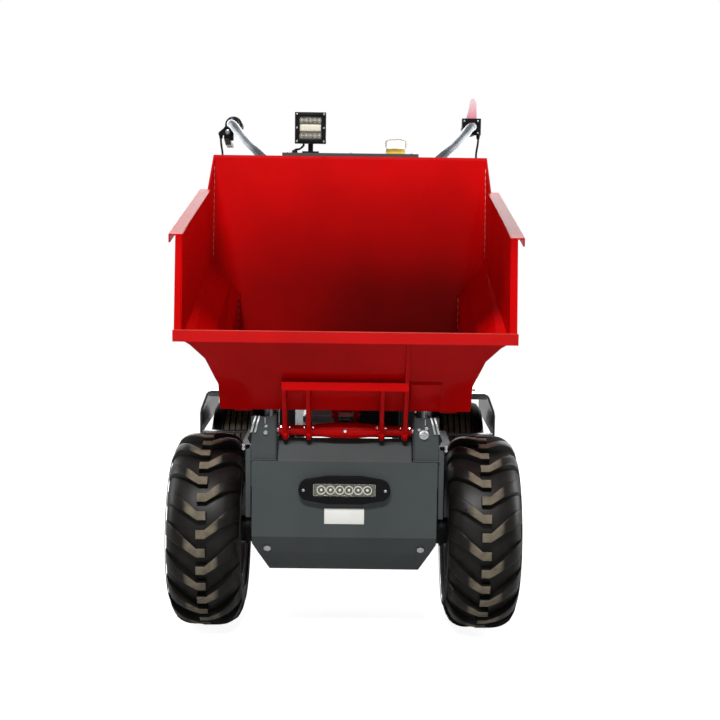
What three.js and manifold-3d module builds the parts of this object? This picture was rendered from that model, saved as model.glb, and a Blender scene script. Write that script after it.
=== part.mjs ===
// Site dumper: a walk-behind four-wheeled machine with a forward-tipping skip.
// Millimetres. +Z is up, the skip faces -Y, +X is the operator's left side as it stands.
// Lengths along Y are measured from the front axle and the whole is centred at the end.
import * as THREE from "three";
import { mergeVertices } from "three/addons/utils/BufferGeometryUtils.js";
import Module from "manifold-3d";

const wasm = await Module();
wasm.setup();

// ---------------------------------------------------------------- driving sizes
const GAP = 0.3; // between pieces that touch
const SIDES = [1, -1]; // operator's left, operator's right
const SIDE_NAME = { "1": "left", "-1": "right" };

// Running gear
const FRONT_TYRE_RADIUS = 203;
const FRONT_TYRE_WIDTH = 152;
const FRONT_BEAD_RADIUS = 104;
const FRONT_TRACK_HALF = 285;
const REAR_TYRE_RADIUS = 185;
const REAR_TYRE_WIDTH = 146;
const REAR_BEAD_RADIUS = 80;
const REAR_TRACK_HALF = 278;
const WHEELBASE = 740;
const RIM_WALL = 5;
const RIM_DISC = { offset: 18, half: 4 }; // outboard of the wheel's middle, and half its thickness
const AXLE_TUBE_RADIUS = 28;
const AXLE_BULGE_RADIUS = 52;
const SPINDLE_REACH = 38; // past the wheel's middle
const DRIVE_CASE_X = -88;
const DRIVE_CASE_HALF = 20;
const SPINDLE_RADIUS = 15;
const HUB_RADIUS = 36;

// Chassis
const RAIL_CLEARANCE = 14; // axle tube to the underside of the rails
const RAIL_HEIGHT = 80;
const RAIL_WIDTH = 40;
const RAIL_OUTSIDE = 160; // half width over the rails
const DECK_THICKNESS = 5;
const PLATE_THICKNESS = 3;
const FRONT_PLATE_HALF = 186;
const NOSE = 158; // front axle to the front plate
const REST_BEAM_AHEAD = 85; // skip's back edge to the beam its floor rests on
const REST_BEAM_HALF = 20;
const REST_BEAM_HEIGHT = 30;
const EAR_THICKNESS = 8; // the ram's ears on the frame and on the skip
const SIDE_BOX_DROP = 55; // below the rails
const SIDE_BOX_RISE = 18; // above the rails
const MUDGUARD_HEIGHT = 95; // above the rails
const MUDGUARD_KNEE = 48; // top to the outer fold
const MUDGUARD_SKIRT = 132; // rear axle to the lower edge

// Skip and its hinge
const SKIP_BACK_HALF = 322;
const SKIP_MOUTH_HALF = 314;
const SKIP_FLOOR_BACK_HALF = 260;
const SKIP_FLOOR_FRONT_HALF = 250;
const LIP_HALF = 326;
const SKIP_BEHIND_CONSOLE = 315; // rear axle to the skip's back edge
const SKIP_SHEET = 4;
const SKIP_FLOOR_LIFT = 157; // above the rails
const SKIP_DEPTH = 515; // floor to the back's top edge
const SHOULDER_LOW = 192; // floor to the shoulders' lower bend at the back
const SHOULDER_HIGH = 270; // floor to their upper bend at the back
const LIP_HEIGHT = 22;
const RIM_STRIP = 12;
const FLANGE_WIDTH = 25;
const FLANGE_TURN = 16;
const LUG_THICKNESS = 8;
const BEAM_LIFT = 50; // floor to the underside of the hinge's beam
const BEAM_HEIGHT = 16;
const LUG_RADIUS = 20;
const PIVOT_AHEAD = 130; // hinge ahead of the front axle
const PIVOT_DROP = 44; // hinge below the skip's floor
const HINGE_TUBE_RADIUS = 10;
const HINGE_PIN_RADIUS = 6.5;
const LUG_INSETS = [65, 18]; // hinge tube's end to the inner faces of its lugs, each side
const POST_INSET = 23; // rail's outside to the inner face of a hinge post
const POST_CLEARANCE = 3; // hinge tube's end to a post
const POST_CHEEK = 6;
const POST_FACE = 4;
const POST_LENGTH = 92;
const POST_ABOVE_PIVOT = 30;
const PIN_STANDOUT = 8;

// Handlebars and console
const HANDLEBAR_RADIUS = 12;
const HANDLEBAR_FOOT_HALF = 180;
const DECK_HALF = HANDLEBAR_FOOT_HALF + 18;
const GRIP_HALF_SPREAD = 318;
const GRIP_RADIUS = 17;
const GRIP_LENGTH = 130;
const GRIP_BEHIND_REAR_AXLE = 170; // rear axle to the grip's front end
const CONSOLE_HALF_WIDTH = 162;
const CONSOLE_DEPTH = 100;
const CONSOLE_HEIGHT = 190;
const CABLE_RADIUS = 2.8;
const LEAD_RADIUS = 2.5;

// Lights
const LIGHT_BAR_HALF = 92;
const LIGHT_BAR_HEIGHT = 56;
const LIGHT_BAR_LENS_HALF = 63;
const WORK_LIGHT_X = -96;
const WORK_LIGHT_DEPTH = { front: 26, back: 10, recess: 20, fins: 26 }; // from its stem
const WORK_LIGHT_FINS = 6;
const WORK_LIGHT_SIZE = 74;
const BEACON_X = 108;

// ---------------------------------------------------------------- derived places
const POST_INNER = RAIL_OUTSIDE - POST_INSET;
const HINGE_TUBE_HALF = POST_INNER - POST_CLEARANCE;
const LUG_PLACES = LUG_INSETS.map((inset) => HINGE_TUBE_HALF - inset); // inner faces
const FRONT_AXLE_Z = FRONT_TYRE_RADIUS;
const REAR_AXLE_Z = REAR_TYRE_RADIUS;
const REAR_AXLE_Y = WHEELBASE;
const RAIL_BOTTOM = FRONT_AXLE_Z + AXLE_TUBE_RADIUS + RAIL_CLEARANCE;
const RAIL_TOP = RAIL_BOTTOM + RAIL_HEIGHT;
const RAIL_INSIDE = RAIL_OUTSIDE - RAIL_WIDTH;
const RAIL_END_Y = REAR_AXLE_Y + 150;
const DECK_TOP = RAIL_TOP + DECK_THICKNESS;
const SKIP_FLOOR_Z = RAIL_TOP + SKIP_FLOOR_LIFT;
const SKIP_TOP_Z = SKIP_FLOOR_Z + SKIP_DEPTH;
const SKIP_BACK_Y = REAR_AXLE_Y - SKIP_BEHIND_CONSOLE;
const DECK_FRONT_Y = SKIP_BACK_Y + 15;
const PIVOT_Y = -PIVOT_AHEAD;
const PIVOT_Z = SKIP_FLOOR_Z - PIVOT_DROP;
const CONSOLE_FRONT_Y = SKIP_BACK_Y + 30;
const CONSOLE_BACK_Y = CONSOLE_FRONT_Y + CONSOLE_DEPTH;
const CONSOLE_TOP_Z = SKIP_TOP_Z + 8;
const HANDLEBAR_FOOT_Y = CONSOLE_FRONT_Y + 24;
const LAMP_Y = CONSOLE_FRONT_Y + 40;
const GRIP_FRONT_Y = REAR_AXLE_Y + GRIP_BEHIND_REAR_AXLE;
const GRIP_Z = SKIP_TOP_Z + 90;

// The lip leads the hinge; the ramp climbs from the floor's front edge to the lip.
const RAMP_FOOT_Y = PIVOT_Y - 20;
const RAMP_RUN = 140;
const RAMP_RISE = 155;
const LIP_Y = RAMP_FOOT_Y - RAMP_RUN;
const LIP_Z = SKIP_FLOOR_Z + RAMP_RISE;

const LIGHT_BAR_Z = FRONT_AXLE_Z + 120;
const WORK_LIGHT_Z = CONSOLE_TOP_Z + 59;
const RIM_Y = LIP_Y + 30;
const RIM_Z = LIP_Z + 196;
const KINK_Y = SKIP_BACK_Y - 150;
const KINK_Z = SKIP_TOP_Z - 80;
const SHOULDER_TOP_Z = SKIP_FLOOR_Z + SHOULDER_HIGH;

// The tipping ram stands between its two eyes.
const RAM_FOOT = { y: PIVOT_Y + 250, z: PIVOT_Z - 241 };
const RAM_HEAD = { y: PIVOT_Y + 150, z: PIVOT_Z + 9 };
const RAM_PIN_RADIUS = 8;
const RAM_EYE_RADIUS = 18;
const RAM_EYE_WIDTH = 30;
const RAM_BARREL_RADIUS = 25;
const RAM_ROD_RADIUS = 13;
const RAM_ROD_SHOWN = 32; // gland to the middle of the head eye
const RAM_GLAND_LENGTH = 18;
const RAM_PIN_END = RAM_EYE_WIDTH / 2 + 14;

// engine: spans along Y count from the rear axle, heights from the deck
const CRANKCASE_HALF = 95;
const CRANKCASE_FRONT = 90;
const CRANKCASE_BACK = 100;
const CRANKCASE_HEIGHT = 170;
const ENGINE_FLANGE = 12; // thickness of the foot flange
const CYLINDER_HALF = 48;
const CYLINDER_TOP = 282;
const SHAFT_HEIGHT = 85;
const SHAFT_RADIUS = 22;
const FIN = { half: 62, thickness: 5, pitch: 14, count: 7, first: 182 };
const TANK = { half: 120, front: 88, back: 92, height: 92, round: 26 };
const TANK_CAP = { x: -50, behind: 20, neck: 22, radius: 30, lift: 10, height: 18 };
const STARTER = { foot: 82, face: 62, depth: 55, height: 95 };
const FILTER_OUTSIDE = 150;
const MUFFLER_OUTSIDE = 150;
const TAILPIPE_RADIUS = 12;
const OIL_TANK = { x: [20, 150], depth: 90, height: 190, capX: 110, capRadius: 20 };
const CLAMP_WALL = 5; // round a handlebar

// ---------------------------------------------------------------- finishes
const FINISHES = {
  redPaint: { color: 0xb80a0c, roughness: 0.35, metalness: 0.1 },
  greyPaint: { color: 0x3c4244, roughness: 0.45, metalness: 0.2 },
  blackPaint: { color: 0x17181a, roughness: 0.5, metalness: 0.2 },
  zincSteel: { color: 0x9ea3a6, roughness: 0.35, metalness: 0.9 },
  chromeSteel: { color: 0xc8ccd0, roughness: 0.12, metalness: 1.0 },
  tyreRubber: { color: 0x1b1a18, roughness: 0.9, metalness: 0.0 },
  softRubber: { color: 0x121212, roughness: 0.85, metalness: 0.0 },
  blackPlastic: { color: 0x141416, roughness: 0.55, metalness: 0.0 },
  redPlastic: { color: 0xc4313f, roughness: 0.4, metalness: 0.0 },
  yellowPlastic: { color: 0xd8b23a, roughness: 0.45, metalness: 0.0 },
  castAluminium: { color: 0x8d9092, roughness: 0.5, metalness: 0.8 },
};

// ---------------------------------------------------------------- shape helpers

/** A closed solid from any closed geometry. */
function toSolid(geometry) {
  const bare = new THREE.BufferGeometry();
  const loose = geometry.index ? geometry.toNonIndexed() : geometry;
  bare.setAttribute("position", loose.getAttribute("position").clone());
  const merged = mergeVertices(bare, 1e-3);
  const mesh = new wasm.Mesh({
    numProp: 3,
    vertProperties: new Float32Array(merged.getAttribute("position").array),
    triVerts: new Uint32Array(merged.index.array),
  });
  return new wasm.Manifold(mesh);
}

/** The geometry of a solid, with flat faces. */
function toGeometry(solid) {
  const mesh = solid.getMesh();
  const geometry = new THREE.BufferGeometry();
  geometry.setAttribute("position", new THREE.BufferAttribute(mesh.vertProperties, 3));
  geometry.setIndex(new THREE.BufferAttribute(mesh.triVerts, 1));
  const flat = geometry.toNonIndexed();
  flat.computeVertexNormals();
  return flat;
}

/** Several shapes welded into one. */
function join(...shapes) {
  const solids = shapes.map(toSolid);
  return toGeometry(solids.reduce((whole, next) => whole.add(next)));
}

/** A shape with others taken out of it. */
function cut(shape, ...tools) {
  return toGeometry(tools.map(toSolid).reduce((left, tool) => left.subtract(tool), toSolid(shape)));
}

/** A rectangular block between two values on each axis. */
function block([x0, x1], [y0, y1], [z0, z1]) {
  const box = new THREE.BoxGeometry(Math.abs(x1 - x0), Math.abs(y1 - y0), Math.abs(z1 - z0));
  return box.translate((x0 + x1) / 2, (y0 + y1) / 2, (z0 + z1) / 2);
}

/** A closed outline of [a, b] pairs as a flat shape. */
function outline(points) {
  return new THREE.Shape(points.map(([a, b]) => new THREE.Vector2(a, b)));
}

/** An outline of [y, z] pairs drawn out along X between two values. */
function acrossX(points, x0, x1) {
  const low = Math.min(x0, x1);
  const solid = new THREE.ExtrudeGeometry(outline(points), {
    depth: Math.abs(x1 - x0),
    bevelEnabled: false,
  });
  const turn = new THREE.Matrix4().makeBasis(
    new THREE.Vector3(0, 1, 0),
    new THREE.Vector3(0, 0, 1),
    new THREE.Vector3(1, 0, 0),
  );
  return solid.applyMatrix4(turn).translate(low, 0, 0);
}

/** An outline of [x, z] pairs drawn out along Y between two values. */
function alongY(points, y0, y1) {
  const solid = new THREE.ExtrudeGeometry(outline(points), {
    depth: Math.abs(y1 - y0),
    bevelEnabled: false,
  });
  return solid.rotateX(Math.PI / 2).translate(0, Math.max(y0, y1), 0);
}

/** A round bar between two points. */
function bar(from, to, radius, sides = 24) {
  const start = new THREE.Vector3(...from);
  const end = new THREE.Vector3(...to);
  const along = end.clone().sub(start);
  const cylinder = new THREE.CylinderGeometry(radius, radius, along.length(), sides);
  const turn = new THREE.Quaternion();
  turn.setFromUnitVectors(new THREE.Vector3(0, 1, 0), along.clone().normalize());
  const middle = start.add(end).multiplyScalar(0.5);
  return cylinder.applyQuaternion(turn).translate(middle.x, middle.y, middle.z);
}

/** A round bar along X through a point given by y and z. */
function barX(x0, x1, place, radius, sides = 24) {
  return bar([x0, place.y, place.z], [x1, place.y, place.z], radius, sides);
}

/** A turned shape about X: [radius, x] pairs, closed or ending on the axis. */
function turnedX(profile, sides = 24) {
  const points = profile.map(([radius, x]) => new THREE.Vector2(radius, x));
  return new THREE.LatheGeometry(points, sides).rotateZ(-Math.PI / 2);
}

/** A turned shape about Z: [radius, z] pairs, closed or ending on the axis. */
function turnedZ(profile, sides = 24) {
  const points = profile.map(([radius, z]) => new THREE.Vector2(radius, z));
  return new THREE.LatheGeometry(points, sides).rotateX(Math.PI / 2);
}

/** A bent round tube or cable through the given points. */
function bentTube(points, radius, { sides = 12, step = 3, tension = 0.5 } = {}) {
  const places = points.map((point) => new THREE.Vector3(...point));
  const path = new THREE.CatmullRomCurve3(places, false, "catmullrom", tension);
  const steps = Math.min(80, Math.max(8, Math.round(path.getLength() / (radius * 2 * step))));
  const ring = new THREE.Shape();
  ring.absarc(0, 0, radius, 0, Math.PI * 2, false);
  return new THREE.ExtrudeGeometry(ring, {
    steps,
    curveSegments: sides / 2,
    bevelEnabled: false,
    extrudePath: path,
  });
}

/** Points round a circle of a [y, z] or [x, z] outline, between two angles in degrees. */
function arc(centreA, centreB, radius, fromDeg, toDeg, steps = 8) {
  const points = [];
  for (let i = 0; i <= steps; i += 1) {
    const angle = THREE.MathUtils.degToRad(fromDeg + ((toDeg - fromDeg) * i) / steps);
    points.push([centreA + radius * Math.cos(angle), centreB + radius * Math.sin(angle)]);
  }
  return points;
}

/** The outline of a sheet of the given thickness folded along a line of points. */
function foldedSheet(points, thickness) {
  const shifted = points.map((point, i) => {
    const before = points[Math.max(0, i - 1)];
    const after = points[Math.min(points.length - 1, i + 1)];
    const first = normalOf(before, point) ?? normalOf(point, after);
    const second = normalOf(point, after) ?? first;
    const meet = 1 + first[0] * second[0] + first[1] * second[1];
    return [
      point[0] + ((first[0] + second[0]) * thickness) / meet,
      point[1] + ((first[1] + second[1]) * thickness) / meet,
    ];
  });
  return [...points, ...shifted.reverse()];
}

/** The left-hand unit normal of the line between two points. */
function normalOf([a0, b0], [a1, b1]) {
  const length = Math.hypot(a1 - a0, b1 - b0);
  return length === 0 ? null : [-(b1 - b0) / length, (a1 - a0) / length];
}

/** A named piece of the machine. */
function piece(name, geometry, finish) {
  const material = new THREE.MeshStandardMaterial(FINISHES[finish]);
  material.name = finish;
  geometry.computeVertexNormals();
  const mesh = new THREE.Mesh(geometry, material);
  mesh.name = name;
  return mesh;
}

// ---------------------------------------------------------------- wheels

/** A tyre's section as [radius, x] pairs, closed. */
function tyreSection(radius, width, beadRadius) {
  const half = width / 2;
  const beadHalf = half - 12;
  const wall = (radius + beadRadius) / 2;
  const outside = [
    [beadRadius, -beadHalf],
    [wall, -half],
    [radius - 40, -half + 1],
    [radius - 18, -half + 10],
    [radius - 5, -half + 24],
    [radius, -half + 42],
  ];
  const inside = [
    [beadRadius + 10, beadHalf - 16],
    [beadRadius + 10, -beadHalf + 16],
  ];
  const mirrored = outside.map(([r, x]) => [r, -x]).reverse();
  return [...outside, ...mirrored, ...inside, outside[0]];
}

/** A pressed rim with its hub as [radius, x] pairs, closed; the disc sits towards outboard. */
function rimSection(beadRadius, width) {
  const edge = beadRadius - GAP;
  const half = width / 2 - 8;
  const { offset: disc, half: discHalf } = RIM_DISC;
  const bore = SPINDLE_RADIUS + GAP;
  const hubIn = -half + 26;
  const hubOut = disc + 22;
  return [
    [edge, -half],
    [edge, half],
    [edge - RIM_WALL, half],
    [edge - RIM_WALL, disc + discHalf],
    [HUB_RADIUS, disc + discHalf],
    [HUB_RADIUS, hubOut],
    [bore, hubOut],
    [bore, hubIn],
    [HUB_RADIUS, hubIn],
    [HUB_RADIUS, disc - discHalf],
    [edge - RIM_WALL, disc - discHalf],
    [edge - RIM_WALL, -half],
    [edge, -half],
  ];
}

/** One wheel: a tyre on a rim, its outer face turned to the given side. */
function wheel(end, side, { radius, width, beadRadius, trackHalf, y }) {
  const group = new THREE.Group();
  group.name = `${end}_wheel_${SIDE_NAME[side]}_group`;
  const tyre = turnedX(tyreSection(radius, width, beadRadius), 40);
  const rim = turnedX(rimSection(beadRadius, width), 24);
  if (side < 0) {
    rim.rotateZ(Math.PI);
  }
  group.add(piece(`${end}_tyre_${SIDE_NAME[side]}`, tyre, "tyreRubber"));
  group.add(piece(`${end}_rim_${SIDE_NAME[side]}`, rim, "castAluminium"));
  group.position.set(side * trackHalf, y, radius);
  return group;
}

/** All four wheels. */
function wheels() {
  const front = {
    radius: FRONT_TYRE_RADIUS,
    width: FRONT_TYRE_WIDTH,
    beadRadius: FRONT_BEAD_RADIUS,
    trackHalf: FRONT_TRACK_HALF,
    y: 0,
  };
  const rear = {
    radius: REAR_TYRE_RADIUS,
    width: REAR_TYRE_WIDTH,
    beadRadius: REAR_BEAD_RADIUS,
    trackHalf: REAR_TRACK_HALF,
    y: REAR_AXLE_Y,
  };
  return SIDES.flatMap((side) => [wheel("front", side, front), wheel("rear", side, rear)]);
}

// ---------------------------------------------------------------- axles and drive

/** An axle casing with its gear bulge, saddles and two spindles. */
function axle(name, y, z, trackHalf, tyreWidth) {
  const tubeEnd = trackHalf - tyreWidth / 2 + 24;
  const spindleEnd = trackHalf + SPINDLE_REACH;
  const bulge = AXLE_BULGE_RADIUS;
  const casing = turnedX([
    [0, -spindleEnd],
    [SPINDLE_RADIUS, -spindleEnd],
    [SPINDLE_RADIUS, -tubeEnd],
    [AXLE_TUBE_RADIUS, -tubeEnd],
    [AXLE_TUBE_RADIUS, -bulge - 12],
    [bulge, -bulge / 2],
    [bulge, bulge / 2],
    [AXLE_TUBE_RADIUS, bulge + 12],
    [AXLE_TUBE_RADIUS, tubeEnd],
    [SPINDLE_RADIUS, tubeEnd],
    [SPINDLE_RADIUS, spindleEnd],
    [0, spindleEnd],
  ]).translate(0, y, z);
  const saddles = SIDES.map((side) =>
    block(
      [side * (RAIL_INSIDE + 4), side * (RAIL_OUTSIDE - 4)],
      [y - 24, y + 24],
      [z, RAIL_BOTTOM - GAP],
    ),
  );
  return piece(name, join(casing, ...saddles), "blackPaint");
}

/** The long casing that carries the drive from the gearbox to the front axle. */
function driveCase() {
  const front = AXLE_TUBE_RADIUS + GAP;
  const back = REAR_AXLE_Y - AXLE_TUBE_RADIUS - GAP;
  const half = DRIVE_CASE_HALF;
  const taper = 60;
  const low = Math.min(FRONT_AXLE_Z, REAR_AXLE_Z) - half - 4;
  const high = RAIL_BOTTOM - 12;
  const points = [
    [front, FRONT_AXLE_Z - half],
    [front + taper, low],
    [back - taper, low],
    [back, REAR_AXLE_Z - half],
    [back, REAR_AXLE_Z + half],
    [back - taper, high],
    [front + taper, high],
    [front, FRONT_AXLE_Z + half],
  ];
  return piece("drive_case", acrossX(points, DRIVE_CASE_X - half, DRIVE_CASE_X + half), "blackPaint");
}

// ---------------------------------------------------------------- chassis

/** The welded frame: two box rails, cross members, ram ears and the beam the skip rests on. */
function chassisFrame() {
  const front = -NOSE + PLATE_THICKNESS + GAP;
  const rails = SIDES.map((side) =>
    block([side * RAIL_INSIDE, side * RAIL_OUTSIDE], [front, RAIL_END_Y], [RAIL_BOTTOM, RAIL_TOP]),
  );
  const crossPlaces = [
    [front, front + 30],
    [RAM_FOOT.y + 45, RAM_FOOT.y + 95],
    [SKIP_BACK_Y - 60, SKIP_BACK_Y - 10],
    [RAIL_END_Y - 40, RAIL_END_Y],
  ];
  const crossBars = crossPlaces.map((span) =>
    block([-RAIL_INSIDE - 1, RAIL_INSIDE + 1], span, [RAIL_BOTTOM + 10, RAIL_TOP - 10]),
  );
  const pin = barX(-RAM_PIN_END, RAM_PIN_END, RAM_FOOT, RAM_PIN_RADIUS);
  const frame = join(...rails, ...crossBars, ...ramEars(), ...restBeam(), deckPlate(), pin);
  return piece("chassis_frame", frame, "greyPaint");
}

/** Two ears on the cross member that hold the ram's foot pin. */
function ramEars() {
  const ear = [
    [RAM_FOOT.y + 60, RAIL_BOTTOM + 12],
    [RAM_FOOT.y + 60, RAIL_BOTTOM + 30],
    [RAM_FOOT.y + 44, RAIL_BOTTOM + 30],
    ...arc(RAM_FOOT.y, RAM_FOOT.z, 22, 100, 290, 10),
  ];
  const inside = RAM_EYE_WIDTH / 2 + 1;
  return SIDES.map((side) => acrossX(ear, side * inside, side * (inside + EAR_THICKNESS)));
}

/** The beam on two posts that carries the skip's floor when it is down. */
function restBeam() {
  const y = SKIP_BACK_Y - REST_BEAM_AHEAD;
  const half = REST_BEAM_HALF;
  const top = SKIP_FLOOR_Z - GAP;
  const posts = SIDES.map((side) =>
    block(
      [side * (RAIL_INSIDE + 2), side * (RAIL_OUTSIDE - 2)],
      [y - half + 2, y + half - 2],
      [RAIL_TOP - 1, top - 10],
    ),
  );
  const reach = RAIL_OUTSIDE + 10;
  const beam = block([-reach, reach], [y - half, y + half], [top - REST_BEAM_HEIGHT, top]);
  return [...posts, beam];
}

/** The deck plate behind the skip, welded on top of the rails. */
function deckPlate() {
  return block([-DECK_HALF, DECK_HALF], [DECK_FRONT_Y, RAIL_END_Y], [RAIL_TOP - 1, DECK_TOP]);
}

/** The folded plate across the nose between the front wheels. */
function frontPlate() {
  const bendTop = RAIL_TOP + 55;
  const bendLow = FRONT_AXLE_Z + 21;
  const foot = bendLow - 81;
  const fold = [
    [-NOSE + 43, bendTop + 40],
    [-NOSE, bendTop],
    [-NOSE, bendLow],
    [-NOSE + 24, bendLow - 38],
    [-NOSE + 60, foot],
  ];
  const sheet = acrossX(foldedSheet(fold, PLATE_THICKNESS), -FRONT_PLATE_HALF, FRONT_PLATE_HALF);
  const corners = SIDES.map((side) =>
    alongY(
      [
        [side * (FRONT_PLATE_HALF + 5), foot + 75],
        [side * (FRONT_PLATE_HALF + 5), foot - 10],
        [side * (FRONT_PLATE_HALF - 38), foot - 10],
      ],
      -NOSE - 10,
      -NOSE + 80,
    ),
  );
  const notches = SIDES.map((side) =>
    block(
      [side * HINGE_TUBE_HALF, side * (FRONT_PLATE_HALF + 5)],
      [-NOSE - 10, -NOSE + 60],
      [bendTop - 1, bendTop + 60],
    ),
  );
  return piece("front_plate", cut(sheet, ...corners, ...notches), "greyPaint");
}

/** The bracket that carries one end of the skip's hinge pin. */
function pivotPost(side) {
  const front = -NOSE + 6;
  const back = front + POST_LENGTH;
  const inner = POST_INNER;
  const outer = FRONT_PLATE_HALF + 2;
  const foot = RAIL_TOP + GAP;
  const top = PIVOT_Z + POST_ABOVE_PIVOT;
  const nose = LUG_RADIUS + 17; // radius of the cheek round the pin
  const base = block([side * inner, side * outer], [front, back], [foot, foot + POST_CHEEK]);
  const face = block([side * inner, side * outer], [front, front + POST_FACE], [foot, top]);
  const cheekLine = [
    [front, foot],
    [back, foot],
    [PIVOT_Y + nose, PIVOT_Z - 10],
    ...arc(PIVOT_Y, PIVOT_Z, nose, 0, 115, 8),
    [front, top],
  ];
  const cheek = acrossX(cheekLine, side * inner, side * (inner + POST_CHEEK));
  const gussetLine = [
    [front, foot],
    [back, foot],
    [front + 34, top],
    [front, top],
  ];
  const gusset = acrossX(gussetLine, side * (outer - POST_FACE), side * outer);
  const pivot = { y: PIVOT_Y, z: PIVOT_Z };
  const hole = barX(side * (inner - 5), side * (inner + 12), pivot, HINGE_PIN_RADIUS + GAP);
  const post = cut(join(base, face, cheek, gusset), hole);
  return piece(`pivot_post_${SIDE_NAME[side]}`, post, "greyPaint");
}

/** The steel pin the skip turns on. */
function hingePin() {
  const end = POST_INNER + POST_CHEEK + PIN_STANDOUT;
  return piece(
    "hinge_pin",
    barX(-end, end, { y: PIVOT_Y, z: PIVOT_Z }, HINGE_PIN_RADIUS),
    "zincSteel",
  );
}

/** A box hung on the outside of one rail between the wheels. */
function sideBox(name, side, finish) {
  const front = FRONT_TYRE_RADIUS + 14;
  const back = DECK_FRONT_Y - 2;
  const inner = RAIL_OUTSIDE + GAP;
  const outer = FRONT_TRACK_HALF - FRONT_TYRE_WIDTH / 2 + 29;
  const bottom = RAIL_BOTTOM - SIDE_BOX_DROP;
  const top = RAIL_TOP + SIDE_BOX_RISE;
  const section = [
    [side * inner, bottom + 12],
    [side * (inner + 12), bottom],
    [side * outer, bottom],
    [side * outer, top],
    [side * inner, top],
  ];
  return piece(name, alongY(section, front, back), finish);
}

/** The folded guard over one rear wheel, with the stay at its front foot. */
function mudguard(side) {
  const inner = DECK_HALF - 16;
  const top = RAIL_TOP + MUDGUARD_HEIGHT;
  const knee = top - MUDGUARD_KNEE;
  const skirt = REAR_AXLE_Z + MUDGUARD_SKIRT;
  const outside = REAR_TRACK_HALF + REAR_TYRE_WIDTH / 2 + 12;
  const shoulder = outside - 18;
  const front = REAR_AXLE_Y - REAR_TYRE_RADIUS - 35;
  const back = REAR_AXLE_Y + REAR_TYRE_RADIUS + 20;
  const fold = [
    [side * inner, DECK_TOP + GAP],
    [side * inner, top],
    [side * shoulder, top],
    [side * outside, knee],
    [side * outside, skirt],
  ];
  const line = side > 0 ? fold : fold.slice().reverse();
  const sheet = alongY(foldedSheet(line, -PLATE_THICKNESS), front, back);
  const edge = block([side * (inner + 1), side * (shoulder - 1)], [front, front + 3], [top - 12, top - 1]);
  const foot = block(
    [side * inner, side * (inner + 15)],
    [front, back],
    [DECK_TOP + GAP, DECK_TOP + GAP + PLATE_THICKNESS],
  );
  const stay = block([side * (RAIL_OUTSIDE + GAP), side * outside], [front, front + 20], [skirt, skirt + 4]);
  return piece(`mudguard_${SIDE_NAME[side]}`, join(sheet, edge, foot, stay), "greyPaint");
}

// ---------------------------------------------------------------- skip

/** Where the sloping back plane stands at a height. */
function backPlaneY(z) {
  const slope = 75 / SKIP_DEPTH;
  return SKIP_BACK_Y - (SKIP_TOP_Z - z) * slope;
}

/** Where the ramp stands at a height. */
function rampY(z) {
  return RAMP_FOOT_Y - ((z - SKIP_FLOOR_Z) * RAMP_RUN) / RAMP_RISE;
}

/** A straight run from one value to another between two places along Y. */
function between(y, [fromY, fromValue], [toY, toValue]) {
  return fromValue + ((toValue - fromValue) * (y - fromY)) / (toY - fromY);
}

/** Half the skip's outside width at a place along Y: 0 at its floor, 1 above its shoulders. */
function skipHalf(share, y) {
  const backFootY = backPlaneY(SKIP_FLOOR_Z);
  const floor = between(y, [RAMP_FOOT_Y, SKIP_FLOOR_FRONT_HALF], [backFootY, SKIP_FLOOR_BACK_HALF]);
  const wall = between(y, [LIP_Y, SKIP_MOUTH_HALF], [SKIP_BACK_Y, SKIP_BACK_HALF]);
  return floor + (wall - floor) * share;
}

/** Width shares and heights of the skip's side at its back and at its ramp, floor upwards. */
function skipStations() {
  const shoulder = SHOULDER_HIGH - SHOULDER_LOW;
  return {
    back: [
      [0, 0],
      [0, SHOULDER_LOW],
      [0.33, SHOULDER_LOW + shoulder * 0.35],
      [0.67, SHOULDER_LOW + shoulder * 0.68],
      [1, SHOULDER_HIGH],
    ],
    front: [
      [0, 0],
      [0, RAMP_RISE * 0.37],
      [0.32, RAMP_RISE * 0.73],
      [0.72, RAMP_RISE * 0.92],
      [1, RAMP_RISE],
    ],
  };
}

/** A closed body with the skip's outline, drawn in by an inset and run up past its mouth. */
function skipBody(inset, overrun) {
  const triangles = [];
  const face = (...corners) => {
    for (let i = 1; i < corners.length - 1; i += 1) {
      triangles.push(...corners[0], ...corners[i], ...corners[i + 1]);
    }
  };
  const { back, front } = skipStations();
  const lift = (i) => (i === 0 ? inset : inset * 0.36);
  const place = (stations, planeY, x) =>
    stations.map(([share, height], i) => {
      const z = SKIP_FLOOR_Z + height + lift(i);
      return [x * (skipHalf(share, planeY(z)) - inset), planeY(z), z];
    });
  const mirror = (points) => points.map(([x, y, z]) => [-x, y, z]);
  const b = place(back, (z) => backPlaneY(z) - inset, 1);
  const f = place(front, (z) => rampY(z) + inset * 1.35, 1);
  const above = (y, z) => [skipHalf(1, y) - inset, y, z + overrun];
  const rim = above(RIM_Y + inset * 1.35, RIM_Z);
  const kink = above(KINK_Y, KINK_Z);
  const top = above(SKIP_BACK_Y - inset, SKIP_TOP_Z);
  const [bm, fm] = [mirror(b), mirror(f)];
  const [[rimM], [kinkM], [topM]] = [mirror([rim]), mirror([kink]), mirror([top])];
  const last = b.length - 1;
  for (let i = 0; i < last; i += 1) {
    face(f[i], b[i], b[i + 1], f[i + 1]);
    face(fm[i], fm[i + 1], bm[i + 1], bm[i]);
    face(fm[i], f[i], f[i + 1], fm[i + 1]);
    face(b[i], bm[i], bm[i + 1], b[i + 1]);
  }
  face(kink, rim, f[last], b[last], top);
  face(kinkM, topM, bm[last], fm[last], rimM);
  face(fm[last], f[last], rim, rimM);
  face(b[last], bm[last], topM, top);
  face(fm[0], bm[0], b[0], f[0]);
  face(rimM, rim, kink, kinkM);
  face(kinkM, kink, top, topM);
  const geometry = new THREE.BufferGeometry();
  geometry.setAttribute("position", new THREE.Float32BufferAttribute(triangles, 3));
  return geometry;
}

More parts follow.
